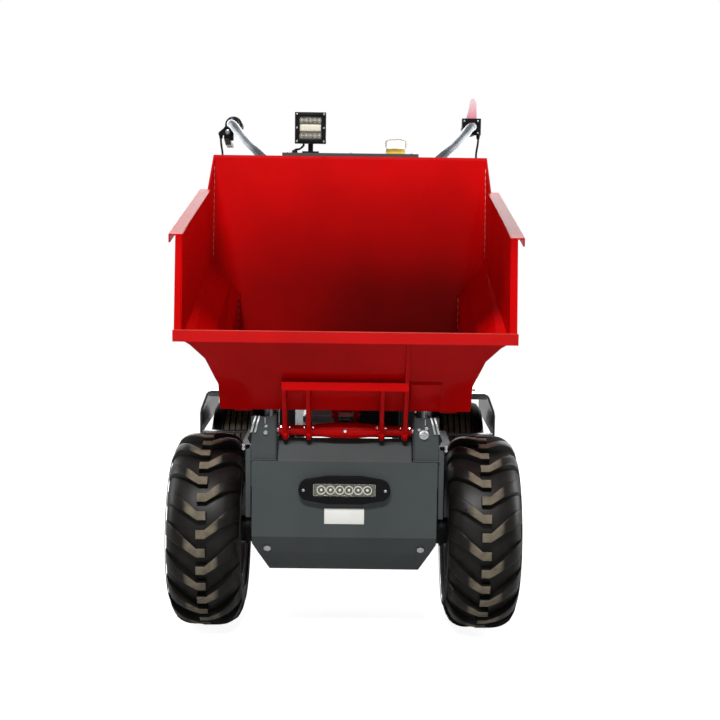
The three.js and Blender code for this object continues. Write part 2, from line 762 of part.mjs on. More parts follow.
/** The skip: an open tub of folded sheet with a stiffened lip, front rims and side flanges. */
function skipTub() {
  const mouthZ = LIP_Z + SKIP_SHEET * 0.36;
  const mouth = acrossX(
    [
      [LIP_Y - 60, mouthZ],
      [LIP_Y + SKIP_SHEET * 2, mouthZ],
      [RIM_Y + SKIP_SHEET * 3, RIM_Z + 40],
      [LIP_Y - 60, RIM_Z + 40],
    ],
    -(SKIP_MOUTH_HALF - SKIP_SHEET),
    SKIP_MOUTH_HALF - SKIP_SHEET,
  );
  const shell = cut(skipBody(0, 0), skipBody(SKIP_SHEET, 60), mouth);
  const lip = block(
    [-LIP_HALF, LIP_HALF],
    [LIP_Y - 6, LIP_Y + 5],
    [LIP_Z - 5, LIP_Z + LIP_HEIGHT - 5],
  );
  const trim = SIDES.flatMap((side) => [frontRim(side), ...topFlange(side), floorRunner(side)]);
  const tub = join(shell, lip, ...trim, ...ramBracket());
  return piece("skip_tub", tub, "redPaint");
}

/** The strip that stiffens the front edge of one side wall. */
function frontRim(side) {
  const line = [
    [LIP_Y - 3, LIP_Z],
    [LIP_Y + 9, LIP_Z],
    [RIM_Y + 9, RIM_Z],
    [RIM_Y - 3, RIM_Z],
  ];
  const inner = SKIP_MOUTH_HALF - SKIP_SHEET + 2;
  return acrossX(line, side * inner, side * (inner + RIM_STRIP));
}

/** The outward flange along one side wall's top edge, with its turned-down edge. */
function topFlange(side) {
  const edge = (depth) => [
    [RIM_Y - 3, RIM_Z],
    [RIM_Y - 3, RIM_Z - depth],
    [KINK_Y, KINK_Z - depth],
    [KINK_Y, KINK_Z],
  ];
  const inner = SKIP_MOUTH_HALF - SKIP_SHEET + 2;
  const outer = inner + FLANGE_WIDTH;
  return [
    acrossX(edge(3), side * inner, side * outer),
    acrossX(edge(FLANGE_TURN), side * (outer - 3), side * outer),
  ];
}

/** The skip's hinge: a tube on four lugs that hang from a beam under the ramp. */
function skipHinge() {
  const pivot = { y: PIVOT_Y, z: PIVOT_Z };
  const tube = barX(-HINGE_TUBE_HALF, HINGE_TUBE_HALF, pivot, HINGE_TUBE_RADIUS);
  const bore = barX(-HINGE_TUBE_HALF - 5, HINGE_TUBE_HALF + 5, pivot, HINGE_PIN_RADIUS + GAP);
  const beamHalf = LUG_PLACES[1] + LUG_THICKNESS;
  const lowZ = SKIP_FLOOR_Z + BEAM_LIFT;
  const highZ = lowZ + BEAM_HEIGHT;
  const beamLine = [
    [rampY(lowZ) - GAP * 1.4, lowZ],
    [rampY(highZ) - GAP * 1.4, highZ],
    [rampY(highZ) - 16, highZ],
    [rampY(highZ) - 16, lowZ],
  ];
  const beam = acrossX(beamLine, -beamHalf, beamHalf);
  const lugLine = [
    [RAMP_FOOT_Y - GAP * 1.4, SKIP_FLOOR_Z - GAP],
    [rampY(highZ) - GAP * 1.4, highZ],
    [rampY(highZ) - 16, highZ],
    [rampY(highZ) - 16, lowZ],
    ...arc(PIVOT_Y, PIVOT_Z, LUG_RADIUS, 190, 380, 12),
    [PIVOT_Y + 26, SKIP_FLOOR_Z - GAP],
  ];
  const lugs = SIDES.flatMap((side) =>
    LUG_PLACES.map((x) => acrossX(lugLine, side * x, side * (x + LUG_THICKNESS))),
  );
  return piece("skip_hinge", cut(join(tube, beam, rampRib(), ...lugs), bore), "redPaint");
}

/** The rib that runs on from the hinge's outer lug up to the lip, on one side only. */
function rampRib() {
  const low = SKIP_FLOOR_Z + BEAM_LIFT + BEAM_HEIGHT - 2;
  const high = LIP_Z - 5 - GAP;
  const line = [
    [rampY(low) - GAP * 1.4, low],
    [rampY(high) - GAP * 1.4, high],
    [rampY(high) - 6, high],
    [rampY(low) - 16, low],
  ];
  const x = LUG_PLACES[1];
  return acrossX(line, x, x + LUG_THICKNESS);
}

/** A long folded stiffener under one side of the skip's floor. */
function floorRunner(side) {
  const front = PIVOT_Y + 60;
  const back = backPlaneY(SKIP_FLOOR_Z) - 24;
  const x = RAIL_OUTSIDE + 34;
  return block([side * x, side * (x + 34)], [front, back], [SKIP_FLOOR_Z - 16, SKIP_FLOOR_Z + 1]);
}

// ---------------------------------------------------------------- tipping ram

/** The unit direction from the ram's foot eye to its head eye, and their distance. */
function ramLine() {
  const dy = RAM_HEAD.y - RAM_FOOT.y;
  const dz = RAM_HEAD.z - RAM_FOOT.z;
  const length = Math.hypot(dy, dz);
  return { length, lean: Math.atan2(-dy, dz) };
}

/** A turned shape about Z set on the ram's line, counted from its foot eye. */
function onRamLine(shape) {
  const { lean } = ramLine();
  return shape.rotateX(lean).translate(0, RAM_FOOT.y, RAM_FOOT.z);
}

/** The ram's barrel with its foot eye. */
function ramBarrel() {
  const { length } = ramLine();
  const mouth = length - RAM_ROD_SHOWN;
  const cavity = RAM_EYE_RADIUS + 24;
  const body = turnedZ(
    [
      [0, RAM_EYE_RADIUS - 4],
      [14, RAM_EYE_RADIUS - 4],
      [14, RAM_EYE_RADIUS + 8],
      [RAM_BARREL_RADIUS, RAM_EYE_RADIUS + 18],
      [RAM_BARREL_RADIUS, mouth - RAM_GLAND_LENGTH],
      [RAM_BARREL_RADIUS + 3, mouth - RAM_GLAND_LENGTH],
      [RAM_BARREL_RADIUS + 3, mouth],
      [RAM_ROD_RADIUS + GAP, mouth],
      [RAM_ROD_RADIUS + GAP, cavity],
      [0, cavity],
    ],
    24,
  );
  const eye = bar([-RAM_EYE_WIDTH / 2, 0, 0], [RAM_EYE_WIDTH / 2, 0, 0], RAM_EYE_RADIUS, 24);
  const hole = bar([-RAM_EYE_WIDTH, 0, 0], [RAM_EYE_WIDTH, 0, 0], RAM_PIN_RADIUS + GAP, 24);
  return piece("ram_barrel", onRamLine(cut(join(body, eye), hole)), "blackPaint");
}

/** The ram's rod with its head eye, the pin's middle in it. */
function ramRod() {
  const { length } = ramLine();
  const rod = bar([0, 0, RAM_EYE_RADIUS + 28], [0, 0, length - 6], RAM_ROD_RADIUS, 24);
  const eye = bar([-RAM_EYE_WIDTH / 2, 0, length], [RAM_EYE_WIDTH / 2, 0, length], RAM_EYE_RADIUS, 24);
  return piece("ram_rod", onRamLine(join(rod, eye)), "chromeSteel");
}

/** The welded bracket under the skip's floor, with the heads of the pin for the ram's eye. */
function ramBracket() {
  const high = SKIP_FLOOR_Z + 1;
  const inside = RAM_EYE_WIDTH / 2 + 1;
  const ears = SIDES.map((side) => {
    const line = [
      [RAM_HEAD.y - 36, high],
      ...arc(RAM_HEAD.y, RAM_HEAD.z, RAM_EYE_RADIUS, 180, 360, 10),
      [RAM_HEAD.y + 36, high],
    ];
    return acrossX(line, side * inside, side * (inside + EAR_THICKNESS));
  });
  const plate = block([-inside - 20, inside + 20], [RAM_HEAD.y - 46, RAM_HEAD.y + 46], [high - 5, high]);
  const pinHeads = SIDES.map((side) =>
    barX(side * (inside + 4), side * (inside + 14), RAM_HEAD, RAM_PIN_RADIUS + 2),
  );
  return [plate, ...pinHeads, ...ears];
}

// ---------------------------------------------------------------- engine and tanks

/** The engine: a crankcase on the deck with a finned cylinder leaning back. */
function engineBlock() {
  const y = REAR_AXLE_Y;
  const foot = DECK_TOP + GAP;
  const [front, back] = [y - CRANKCASE_FRONT, y + CRANKCASE_BACK];
  const half = CRANKCASE_HALF;
  const top = foot + CRANKCASE_HEIGHT;
  const crankcase = block([-half, half], [front, back], [foot, top]);
  const flange = block([-half - 20, half + 20], [front - 10, back + 10], [foot, foot + ENGINE_FLANGE]);
  const fins = [];
  for (let i = 0; i < FIN.count; i += 1) {
    const z = foot + FIN.first + i * FIN.pitch;
    fins.push(block([-FIN.half, FIN.half], [y - FIN.half, y + FIN.half], [z, z + FIN.thickness]));
  }
  const barrel = block(
    [-CYLINDER_HALF, CYLINDER_HALF],
    [y - CYLINDER_HALF, y + CYLINDER_HALF],
    [top - 10, foot + CYLINDER_TOP],
  );
  const shaft = barX(-half - 55, -half + 5, { y: y - 10, z: foot + SHAFT_HEIGHT }, SHAFT_RADIUS);
  return piece("engine_block", join(crankcase, flange, barrel, shaft, ...fins), "castAluminium");
}

/** The rounded fuel tank on top of the engine. */
function fuelTank() {
  const y = REAR_AXLE_Y;
  const bottom = DECK_TOP + GAP + CYLINDER_TOP + GAP;
  const { half, round } = TANK;
  const high = bottom + TANK.height;
  const section = [
    ...arc(half - round, bottom + round, round, -90, 0, 5),
    ...arc(half - round, high - round, round, 0, 90, 5),
    ...arc(-half + round, high - round, round, 90, 180, 5),
    ...arc(-half + round, bottom + round, round, 180, 270, 5),
  ];
  const capFoot = high + TANK_CAP.lift;
  const capTop = capFoot + TANK_CAP.height;
  const cap = turnedZ(
    [
      [0, high - 4],
      [TANK_CAP.neck, high - 4],
      [TANK_CAP.neck, capFoot],
      [TANK_CAP.radius, capFoot],
      [TANK_CAP.radius, capTop],
      [0, capTop],
    ],
    24,
  );
  const body = alongY(section, y - TANK.front, y + TANK.back);
  return piece("fuel_tank", join(body, cap.translate(TANK_CAP.x, y + TANK_CAP.behind, 0)), "redPaint");
}

/** The recoil starter's round cover at the engine's rear. */
function recoilStarter() {
  const y = REAR_AXLE_Y + CRANKCASE_BACK + GAP;
  const z = DECK_TOP + GAP + STARTER.height;
  const cover = new THREE.CylinderGeometry(STARTER.face, STARTER.foot, STARTER.depth, 32);
  return piece("recoil_starter", cover.translate(0, y + STARTER.depth / 2, z), "blackPlastic");
}

/** The air filter box on the engine's left side. */
function airFilter() {
  const y = REAR_AXLE_Y;
  const z = DECK_TOP + GAP + FIN.first;
  const box = block([FIN.half + GAP, FILTER_OUTSIDE], [y - 60, y + 66], [z - 2, z + 94]);
  const lid = block([FIN.half + 8, FILTER_OUTSIDE + 6], [y - 52, y + 58], [z + 20, z + 86]);
  return piece("air_filter", join(box, lid), "blackPlastic");
}

/** The exhaust silencer on the engine's right side with its outlet. */
function muffler() {
  const y = REAR_AXLE_Y;
  const z = DECK_TOP + GAP + FIN.first;
  const body = block([-MUFFLER_OUTSIDE, -FIN.half - GAP], [y - 66, y + 72], [z + 4, z + 88]);
  const x = -MUFFLER_OUTSIDE + 30;
  const pipe = bar([x, y + 70, z + 30], [x, y + 104, z + 22], TAILPIPE_RADIUS);
  return piece("muffler", join(body, pipe), "zincSteel");
}

// ---------------------------------------------------------------- handlebars and console

/** The points along one handlebar from its foot to its grip's end. */
function handlebarLine(side) {
  const y = HANDLEBAR_FOOT_Y;
  const gripEnd = GRIP_FRONT_Y + GRIP_LENGTH;
  const bend = CONSOLE_TOP_Z;
  return [
    [HANDLEBAR_FOOT_HALF, y, DECK_TOP + GAP + 2],
    [HANDLEBAR_FOOT_HALF, y, bend - 190],
    [HANDLEBAR_FOOT_HALF + 1, y + 3, bend - 100],
    [HANDLEBAR_FOOT_HALF + 10, y + 23, bend - 42],
    [HANDLEBAR_FOOT_HALF + 42, y + 73, bend - 5],
    [GRIP_HALF_SPREAD - 60, GRIP_FRONT_Y - 260, GRIP_Z - 58],
    [GRIP_HALF_SPREAD - 30, GRIP_FRONT_Y - 160, GRIP_Z - 29],
    [GRIP_HALF_SPREAD - 10, GRIP_FRONT_Y - 95, GRIP_Z - 7],
    [GRIP_HALF_SPREAD, GRIP_FRONT_Y - 62, GRIP_Z],
    [GRIP_HALF_SPREAD, GRIP_FRONT_Y - 44, GRIP_Z],
    [GRIP_HALF_SPREAD, GRIP_FRONT_Y - 20, GRIP_Z],
    [GRIP_HALF_SPREAD, GRIP_FRONT_Y + 30, GRIP_Z],
    [GRIP_HALF_SPREAD, gripEnd - 8, GRIP_Z],
  ].map(([x, along, z]) => [side * x, along, z]);
}

/** One handlebar: a bent tube standing on a foot plate. */
function handlebar(side) {
  const tube = bentTube(handlebarLine(side), HANDLEBAR_RADIUS, { sides: 12, step: 1.4 });
  const foot = DECK_TOP + GAP;
  const y = HANDLEBAR_FOOT_Y;
  const x = side * HANDLEBAR_FOOT_HALF;
  const flange = block([x - 18, x + 17], [y - 20, y + 24], [foot, foot + 6]);
  return piece(`handlebar_${SIDE_NAME[side]}`, join(tube, flange), "zincSteel");
}

/** The rubber sleeve on the end of one handlebar, with a collar at its front. */
function grip(side) {
  const inner = HANDLEBAR_RADIUS + GAP + 0.3;
  const sleeve = turnedZ(
    [
      [inner, 0],
      [GRIP_RADIUS + 6, 0],
      [GRIP_RADIUS + 6, 7],
      [GRIP_RADIUS, 10],
      [GRIP_RADIUS, GRIP_LENGTH - 6],
      [GRIP_RADIUS - 3, GRIP_LENGTH],
      [0, GRIP_LENGTH],
      [0, GRIP_LENGTH - 7],
      [inner, GRIP_LENGTH - 7],
      [inner, 0],
    ],
    24,
  );
  sleeve.rotateX(-Math.PI / 2);
  sleeve.translate(side * GRIP_HALF_SPREAD, GRIP_FRONT_Y, GRIP_Z);
  return piece(`grip_${SIDE_NAME[side]}`, sleeve, "softRubber");
}

/** The console: a folded box behind the skip, held between the handlebars. */
function consoleBox() {
  const low = CONSOLE_TOP_Z - CONSOLE_HEIGHT;
  const section = [
    [CONSOLE_FRONT_Y, low],
    [CONSOLE_BACK_Y - 40, low],
    [CONSOLE_BACK_Y, CONSOLE_TOP_Z - 60],
    [CONSOLE_BACK_Y, CONSOLE_TOP_Z],
    [CONSOLE_FRONT_Y, CONSOLE_TOP_Z],
  ];
  const box = acrossX(section, -CONSOLE_HALF_WIDTH, CONSOLE_HALF_WIDTH);
  const y = HANDLEBAR_FOOT_Y;
  const reach = HANDLEBAR_FOOT_HALF - HANDLEBAR_RADIUS - GAP;
  const tabs = SIDES.map((side) =>
    block([side * (CONSOLE_HALF_WIDTH - 2), side * reach], [y - 16, y + 16], [low + 20, low + 60]),
  );
  return piece("console_box", join(box, ...tabs), "greyPaint");
}

/** The tank for the ram's oil, standing on the deck under the console. */
function oilReservoir() {
  const y = CONSOLE_FRONT_Y + 8;
  const foot = DECK_TOP + GAP;
  const top = foot + OIL_TANK.height;
  const tank = block(OIL_TANK.x, [y, y + OIL_TANK.depth], [foot, top]);
  const cap = turnedZ(
    [
      [0, top - 2],
      [OIL_TANK.capRadius, top - 2],
      [OIL_TANK.capRadius, top + 16],
      [0, top + 16],
    ],
    20,
  );
  const place = cap.translate(OIL_TANK.capX, y + OIL_TANK.depth / 2, 0);
  return piece("oil_reservoir", join(tank, place), "blackPaint");
}

/** The tipping lever on the console's back. */
function tippingLever() {
  const y = CONSOLE_BACK_Y + GAP;
  const z = CONSOLE_TOP_Z - 34;
  const boss = bar([0, y, z], [0, y + 14, z], 18, 16);
  const stick = bar([0, y + 8, z], [0, y + 62, z + 12], 5, 12);
  const knob = new THREE.SphereGeometry(11, 12, 8).translate(0, y + 66, z + 13);
  return piece("tipping_lever", join(boss, stick, knob), "blackPlastic");
}

/** A clamp band round a handlebar just ahead of its grip. */
function clampBand(side, y, length) {
  const outer = bar(
    [side * GRIP_HALF_SPREAD, y, GRIP_Z],
    [side * GRIP_HALF_SPREAD, y + length, GRIP_Z],
    HANDLEBAR_RADIUS + CLAMP_WALL,
    20,
  );
  const hole = bar(
    [side * GRIP_HALF_SPREAD, y - 5, GRIP_Z],
    [side * GRIP_HALF_SPREAD, y + length + 5, GRIP_Z],
    HANDLEBAR_RADIUS + GAP,
    20,
  );
  return { outer, hole };
}

/** The clutch lever under the right-hand grip, on its clamp's pointed ear. */
function clutchLever() {
  const side = -1;
  const y = GRIP_FRONT_Y - 28;
  const x = side * GRIP_HALF_SPREAD;
  const { outer, hole } = clampBand(side, y, 22);
  // the ear's outline from the front: down the clamp, then out to the cable's seat
  const ear = [
    [x - side * 2, GRIP_Z - 12],
    [x - side * 2, GRIP_Z - 42],
    [x + side * 9, GRIP_Z - 42],
    [x + side * 12, GRIP_Z - 33],
    [x + side * 22, GRIP_Z - 28],
    [x + side * 38, GRIP_Z - 28],
    [x + side * 38, GRIP_Z - 21],
    [x + side * 25, GRIP_Z - 10],
    [x + side * 17, GRIP_Z],
  ];
  const bracket = alongY(ear, y + 2, y + 20);
  const blade = acrossX(
    [
      [y + 4, GRIP_Z - 22],
      [y + 16, GRIP_Z - 22],
      [y + 30, GRIP_Z - 30],
      [y + 60, GRIP_Z - 42],
      [y + 120, GRIP_Z - 50],
      [y + 120, GRIP_Z - 58],
      [y + 56, GRIP_Z - 52],
      [y + 6, GRIP_Z - 36],
    ],
    x + side * 8,
    x + side * 24,
  );
  return piece("clutch_lever", cut(join(outer, bracket, blade), hole), "blackPlastic");
}

/** The throttle's housing round the left-hand handlebar. */
function throttleHousing() {
  const side = 1;
  const y = GRIP_FRONT_Y - 30;
  const x = side * GRIP_HALF_SPREAD;
  const { hole } = clampBand(side, y - 10, 60);
  const body = block([x - 24, x + 26], [y, y + 28], [GRIP_Z - 20, GRIP_Z + 24]);
  return piece("throttle_housing", cut(body, hole), "blackPlastic");
}

/** The tapered red lever that stands up from the throttle's housing. */
function throttleLever() {
  const side = 1;
  const y = GRIP_FRONT_Y - 16;
  const x = side * GRIP_HALF_SPREAD + 2;
  const foot = GRIP_Z + 24 + GAP;
  const section = [
    [x - 15, foot],
    [x + 13, foot],
    [x + 11, foot + 42],
    [x + 4, foot + 54],
    [x - 4, foot + 50],
    [x - 9, foot + 20],
  ];
  return piece("throttle_lever", alongY(section, y - 5, y + 5), "redPlastic");
}

/** A control cable from one handlebar's control, in a sweep to the back of the console. */
function controlCable(side) {
  const y = GRIP_FRONT_Y - 17;
  const x = side * (GRIP_HALF_SPREAD + (side > 0 ? 20 : 32));
  const start = GRIP_Z - (side > 0 ? 20 : 28) - GAP; // just under its lever's housing
  const end = CONSOLE_TOP_Z - 40;
  const points = [
    [x, y, start],
    [x, y, start - 18],
    [x - side * 4, y - 2, start - 44],
    [x - side * 16, y - 40, start - 92],
    [side * (GRIP_HALF_SPREAD - 70), y - 150, start - 140],
    [side * (HANDLEBAR_FOOT_HALF + 6), CONSOLE_BACK_Y + 120, end - 50],
    [side * (CONSOLE_HALF_WIDTH - 30), CONSOLE_BACK_Y + 50, end - 8],
    [side * (CONSOLE_HALF_WIDTH - 40), CONSOLE_BACK_Y + 20, end],
    [side * (CONSOLE_HALF_WIDTH - 40), CONSOLE_BACK_Y + GAP, end],
  ];
  return piece(
    `control_cable_${SIDE_NAME[side]}`,
    bentTube(points, CABLE_RADIUS, { sides: 8, step: 3 }),
    "softRubber",
  );
}

/** The square work light on its foot: a finned housing with a recessed face. */
function workLight() {
  const half = WORK_LIGHT_SIZE / 2;
  const y = LAMP_Y;
  const [x, z] = [WORK_LIGHT_X, WORK_LIGHT_Z];
  const base = CONSOLE_TOP_Z + GAP;
  const foot = block([x - 20, x + 20], [y - 14, y + 14], [base, base + 4]);
  const stem = block([x - 6, x + 6], [y - 3, y + 3], [base + 3, z - half + 2]);
  const depth = WORK_LIGHT_DEPTH;
  const body = block([x - half, x + half], [y - depth.front, y + depth.back], [z - half, z + half]);
  const recess = block(
    [x - half + 10, x + half - 10],
    [y - depth.front - 14, y - depth.recess],
    [z - half + 9, z + half - 9],
  );
  const fins = [];
  const pitch = (2 * half - 20) / (WORK_LIGHT_FINS - 1);
  for (let i = 0; i < WORK_LIGHT_FINS; i += 1) {
    const finX = x - half + 8 + i * pitch;
    fins.push(block([finX, finX + 4], [y + depth.back - 2, y + depth.fins], [z - half + 6, z + half - 6]));
  }
  return piece("work_light", cut(join(body, foot, stem, ...fins), recess), "blackPlastic");
}

/** The work light's lead, from its underside down to the console's top. */
function workLightLead() {
  const [x, z] = [WORK_LIGHT_X, WORK_LIGHT_Z - WORK_LIGHT_SIZE / 2 - GAP];
  const y = LAMP_Y - 6;
  const points = [
    [x - 17, y, z],
    [x - 17, y, z - 4],
    [x - 26, y, z - 12],
    [x - 36, y + 2, CONSOLE_TOP_Z + 8],
    [x - 38, y + 2, CONSOLE_TOP_Z + 4],
    [x - 38, y + 2, CONSOLE_TOP_Z + GAP],
  ];
  return piece("work_light_lead", bentTube(points, LEAD_RADIUS, { sides: 8, step: 1 }), "softRubber");
}

/** The beacon: a ribbed base with a low dome. */
function beacon() {
  const base = CONSOLE_TOP_Z + GAP;
  const profile = [
    [0, 0],
    [25, 0],
    [25, 3],
    [21, 4],
    [23, 8],
    [21, 11],
    [23, 16],
    [28, 17],
    [28, 22],
    [24, 30],
    [15, 36],
    [0, 38],
  ];
  return piece("beacon", turnedZ(profile, 20).translate(BEACON_X, LAMP_Y, base), "yellowPlastic");
}

/** The light bar's surround on the front plate. */
function lightBar() {
  const y = -NOSE - GAP;
  const round = LIGHT_BAR_HEIGHT / 2 - 6;
  const straight = LIGHT_BAR_HALF - round;
  const section = [
    ...arc(straight, LIGHT_BAR_Z, round, -70, 70, 8),
    [straight * 0.5, LIGHT_BAR_Z + LIGHT_BAR_HEIGHT / 2],
    [-straight * 0.5, LIGHT_BAR_Z + LIGHT_BAR_HEIGHT / 2],
    ...arc(-straight, LIGHT_BAR_Z, round, 110, 250, 8),
    [-straight * 0.5, LIGHT_BAR_Z - LIGHT_BAR_HEIGHT / 2],
    [straight * 0.5, LIGHT_BAR_Z - LIGHT_BAR_HEIGHT / 2],
  ];
  const surround = alongY(section, y - 12, y);
  const window = block(
    [-LIGHT_BAR_LENS_HALF, LIGHT_BAR_LENS_HALF],
    [y - 20, y - 7],
    [LIGHT_BAR_Z - 13, LIGHT_BAR_Z + 13],
  );
  return piece("light_bar", cut(surround, window), "blackPlastic");
}

// ---------------------------------------------------------------- assembly

const chassis = [
  chassisFrame(),
  frontPlate(),
  ...SIDES.map(pivotPost),
  hingePin(),
  axle("front_axle", 0, FRONT_AXLE_Z, FRONT_TRACK_HALF, FRONT_TYRE_WIDTH),
  axle("rear_axle", REAR_AXLE_Y, REAR_AXLE_Z, REAR_TRACK_HALF, REAR_TYRE_WIDTH),
  driveCase(),
  ...SIDES.map(mudguard),
  sideBox("battery_box", 1, "greyPaint"),
  sideBox("tool_box", -1, "greyPaint"),
  engineBlock(),
  fuelTank(),
  recoilStarter(),
  airFilter(),
  muffler(),
  oilReservoir(),
  ...SIDES.map(handlebar),
  ...SIDES.map(grip),
  consoleBox(),
  tippingLever(),
  clutchLever(),
  throttleHousing(),
  throttleLever(),
  ...SIDES.map(controlCable),
  workLight(),
  workLightLead(),
  beacon(),
  lightBar(),
];
const skip = [skipTub(), skipHinge()];
const ram = [ramBarrel(), ramRod()];

const machine = new THREE.Group();
machine.name = "machine";
machine.position.y = -(LIP_Y - 6 + GRIP_FRONT_Y + GRIP_LENGTH) / 2;
machine.add(...chassis, ...skip, ...ram, ...wheels());

const siteDumper = new THREE.Group();
siteDumper.name = "site_dumper";
siteDumper.add(machine);

export default siteDumper;
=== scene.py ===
"""Looks of a walk-behind site dumper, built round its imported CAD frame.

Sizes are millimetres while a piece is shaped, with Y counted from the front axle, and
become metres in the shared frame when it is finished. +Z is up, the skip faces -Y and
names ending in left are on +X, the operator's left hand.
"""
import logging
import math
from dataclasses import dataclass, field
from enum import Enum
from typing import Sequence, Union

import bmesh
import bpy
from mathutils import Matrix, Vector


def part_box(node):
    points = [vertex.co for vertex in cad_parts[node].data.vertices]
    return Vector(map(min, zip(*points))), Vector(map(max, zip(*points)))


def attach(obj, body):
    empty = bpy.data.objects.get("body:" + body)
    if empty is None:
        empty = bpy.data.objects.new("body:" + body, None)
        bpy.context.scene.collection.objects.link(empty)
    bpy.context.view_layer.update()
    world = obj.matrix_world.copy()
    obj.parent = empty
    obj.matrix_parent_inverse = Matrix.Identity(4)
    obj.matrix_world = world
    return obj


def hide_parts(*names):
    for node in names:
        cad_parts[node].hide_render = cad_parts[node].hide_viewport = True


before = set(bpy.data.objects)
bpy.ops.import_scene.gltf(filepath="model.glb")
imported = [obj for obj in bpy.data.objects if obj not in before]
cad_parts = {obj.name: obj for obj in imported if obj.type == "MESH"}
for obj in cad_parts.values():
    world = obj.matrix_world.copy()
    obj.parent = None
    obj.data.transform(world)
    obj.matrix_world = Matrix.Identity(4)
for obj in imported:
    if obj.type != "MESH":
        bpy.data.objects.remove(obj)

log = logging.getLogger("site_dumper")

Point = Sequence[float]
Value = Union[float, Sequence[float], bpy.types.NodeSocket]

MM = 0.001
AXLE_SHIFT = -372.0  # the front axle's place along Y in the shared frame
SIDES = {"left": 1, "right": -1}


class Axis(Enum):
    """The line a turned piece is turned about."""

    X = 0
    Y = 1
    Z = 2

    @property
    def vector(self) -> Vector:
        """The axis as a unit vector."""
        return Vector([1.0 if i == self.value else 0.0 for i in range(3)])


# ------------------------------------------------------------------ colours and nodes


def srgb(code: int) -> tuple[float, float, float, float]:
    """Turns an sRGB hex colour to linear.

    Args:
        code: The colour as 0xRRGGBB.

    Returns:
        Linear red, green and blue with full alpha.
    """
    parts = [((code >> shift) & 255) / 255 for shift in (16, 8, 0)]
    linear = [p / 12.92 if p <= 0.04045 else ((p + 0.055) / 1.055) ** 2.4 for p in parts]
    return (*linear, 1.0)


def per_mm(size: float) -> float:
    """Gives the texture scale at which one pattern cell is so many millimetres.

    Args:
        size: The cell's real size in millimetres.

    Returns:
        The scale for coordinates in metres.
    """
    return 1000.0 / size


def add(
    tree: bpy.types.NodeTree, kind: str, inputs: dict[Union[str, int], Value] | None = None, **settings
) -> bpy.types.Node:
    """Adds a node with its settings and links.

    Args:
        tree: The node tree that gets the node.
        kind: The node's type name after "ShaderNode".
        inputs: Values or sockets for its inputs, by name or number.
        **settings: Properties of the node.

    Returns:
        The new node.
    """
    made = tree.nodes.new("ShaderNode" + kind)
    for name, value in settings.items():
        setattr(made, name, value)
    for name, value in (inputs or {}).items():
        if isinstance(value, bpy.types.NodeSocket):
            tree.links.new(value, made.inputs[name])
        else:
            made.inputs[name].default_value = value
    return made


def blend_colours(
    tree: bpy.types.NodeTree, amount: Value, first: Value, second: Value
) -> bpy.types.NodeSocket:
    """Mixes two colours by an amount.

    Args:
        tree: The material's node tree.
        amount: How much of the second colour shows.
        first: The colour at 0.
        second: The colour at 1.

    Returns:
        The mixed colour's socket.
    """
    made = add(tree, "Mix", {0: amount, 6: first, 7: second}, data_type="RGBA")
    return made.outputs[2]


def band(
    tree: bpy.types.NodeTree, value: Value, low: float, high: float, out: tuple[float, float] = (0.0, 1.0)
) -> bpy.types.NodeSocket:
    """Maps a value between two limits, clamped.

    Args:
        tree: The material's node tree.
        value: The socket to map.
        low: The value that gives the first output.
        high: The value that gives the second output.
        out: The two outputs.

    Returns:
        The mapped value's socket.
    """
    inputs = {"Value": value, "From Min": low, "From Max": high, "To Min": out[0], "To Max": out[1]}
    return add(tree, "MapRange", inputs).outputs["Result"]


# ------------------------------------------------------------------ finishes


@dataclass(frozen=True)
class Finish:
    """A surface finish that makes one material, shared by all pieces that carry it."""

    name: str
    slot: str
    colour: int
    roughness: float = 0.5
    metallic: float = 0.0
    edge: float = 0.0  # softened edge radius in millimetres

    def material(self) -> bpy.types.Material:
        """Makes the material, or finds the one made before.

        Returns:
            The material.
        """
        found = bpy.data.materials.get(self.name)
        if found:
            return found
        made = bpy.data.materials.new(self.name)
        made.use_nodes = True
        made.diffuse_color = srgb(self.colour)
        tree = made.node_tree
        shader = tree.nodes["Principled BSDF"]
        shader.inputs["Base Color"].default_value = srgb(self.colour)
        shader.inputs["Roughness"].default_value = self.roughness
        shader.inputs["Metallic"].default_value = self.metallic
        where = add(tree, "TexCoord").outputs["Object"]
        self.dress(tree, shader, where)
        return made

    def dress(self, tree: bpy.types.NodeTree, shader: bpy.types.Node, where: bpy.types.NodeSocket) -> None:
        """Adds the finish's own pattern.

        Args:
            tree: The material's node tree.
            shader: Its Principled shader.
            where: Object coordinates in metres.
        """
        raise NotImplementedError

    def rough(
        self, tree: bpy.types.NodeTree, shader: bpy.types.Node, height: bpy.types.NodeSocket, depth: float
    ) -> None:
        """Bumps the surface, over edges softened by the finish's own radius.

        Args:
            tree: The material's node tree.
            shader: Its Principled shader.
            height: The bump's height, 0 to 1.
            depth: The bump's real depth in millimetres.
        """
        inputs = {"Height": height, "Distance": depth * MM, "Strength": 1.0}
        if self.edge:
            inputs["Normal"] = add(tree, "Bevel", {"Radius": self.edge * MM}, samples=4).outputs[0]
        bump = add(tree, "Bump", inputs)
        tree.links.new(bump.outputs[0], shader.inputs["Normal"])


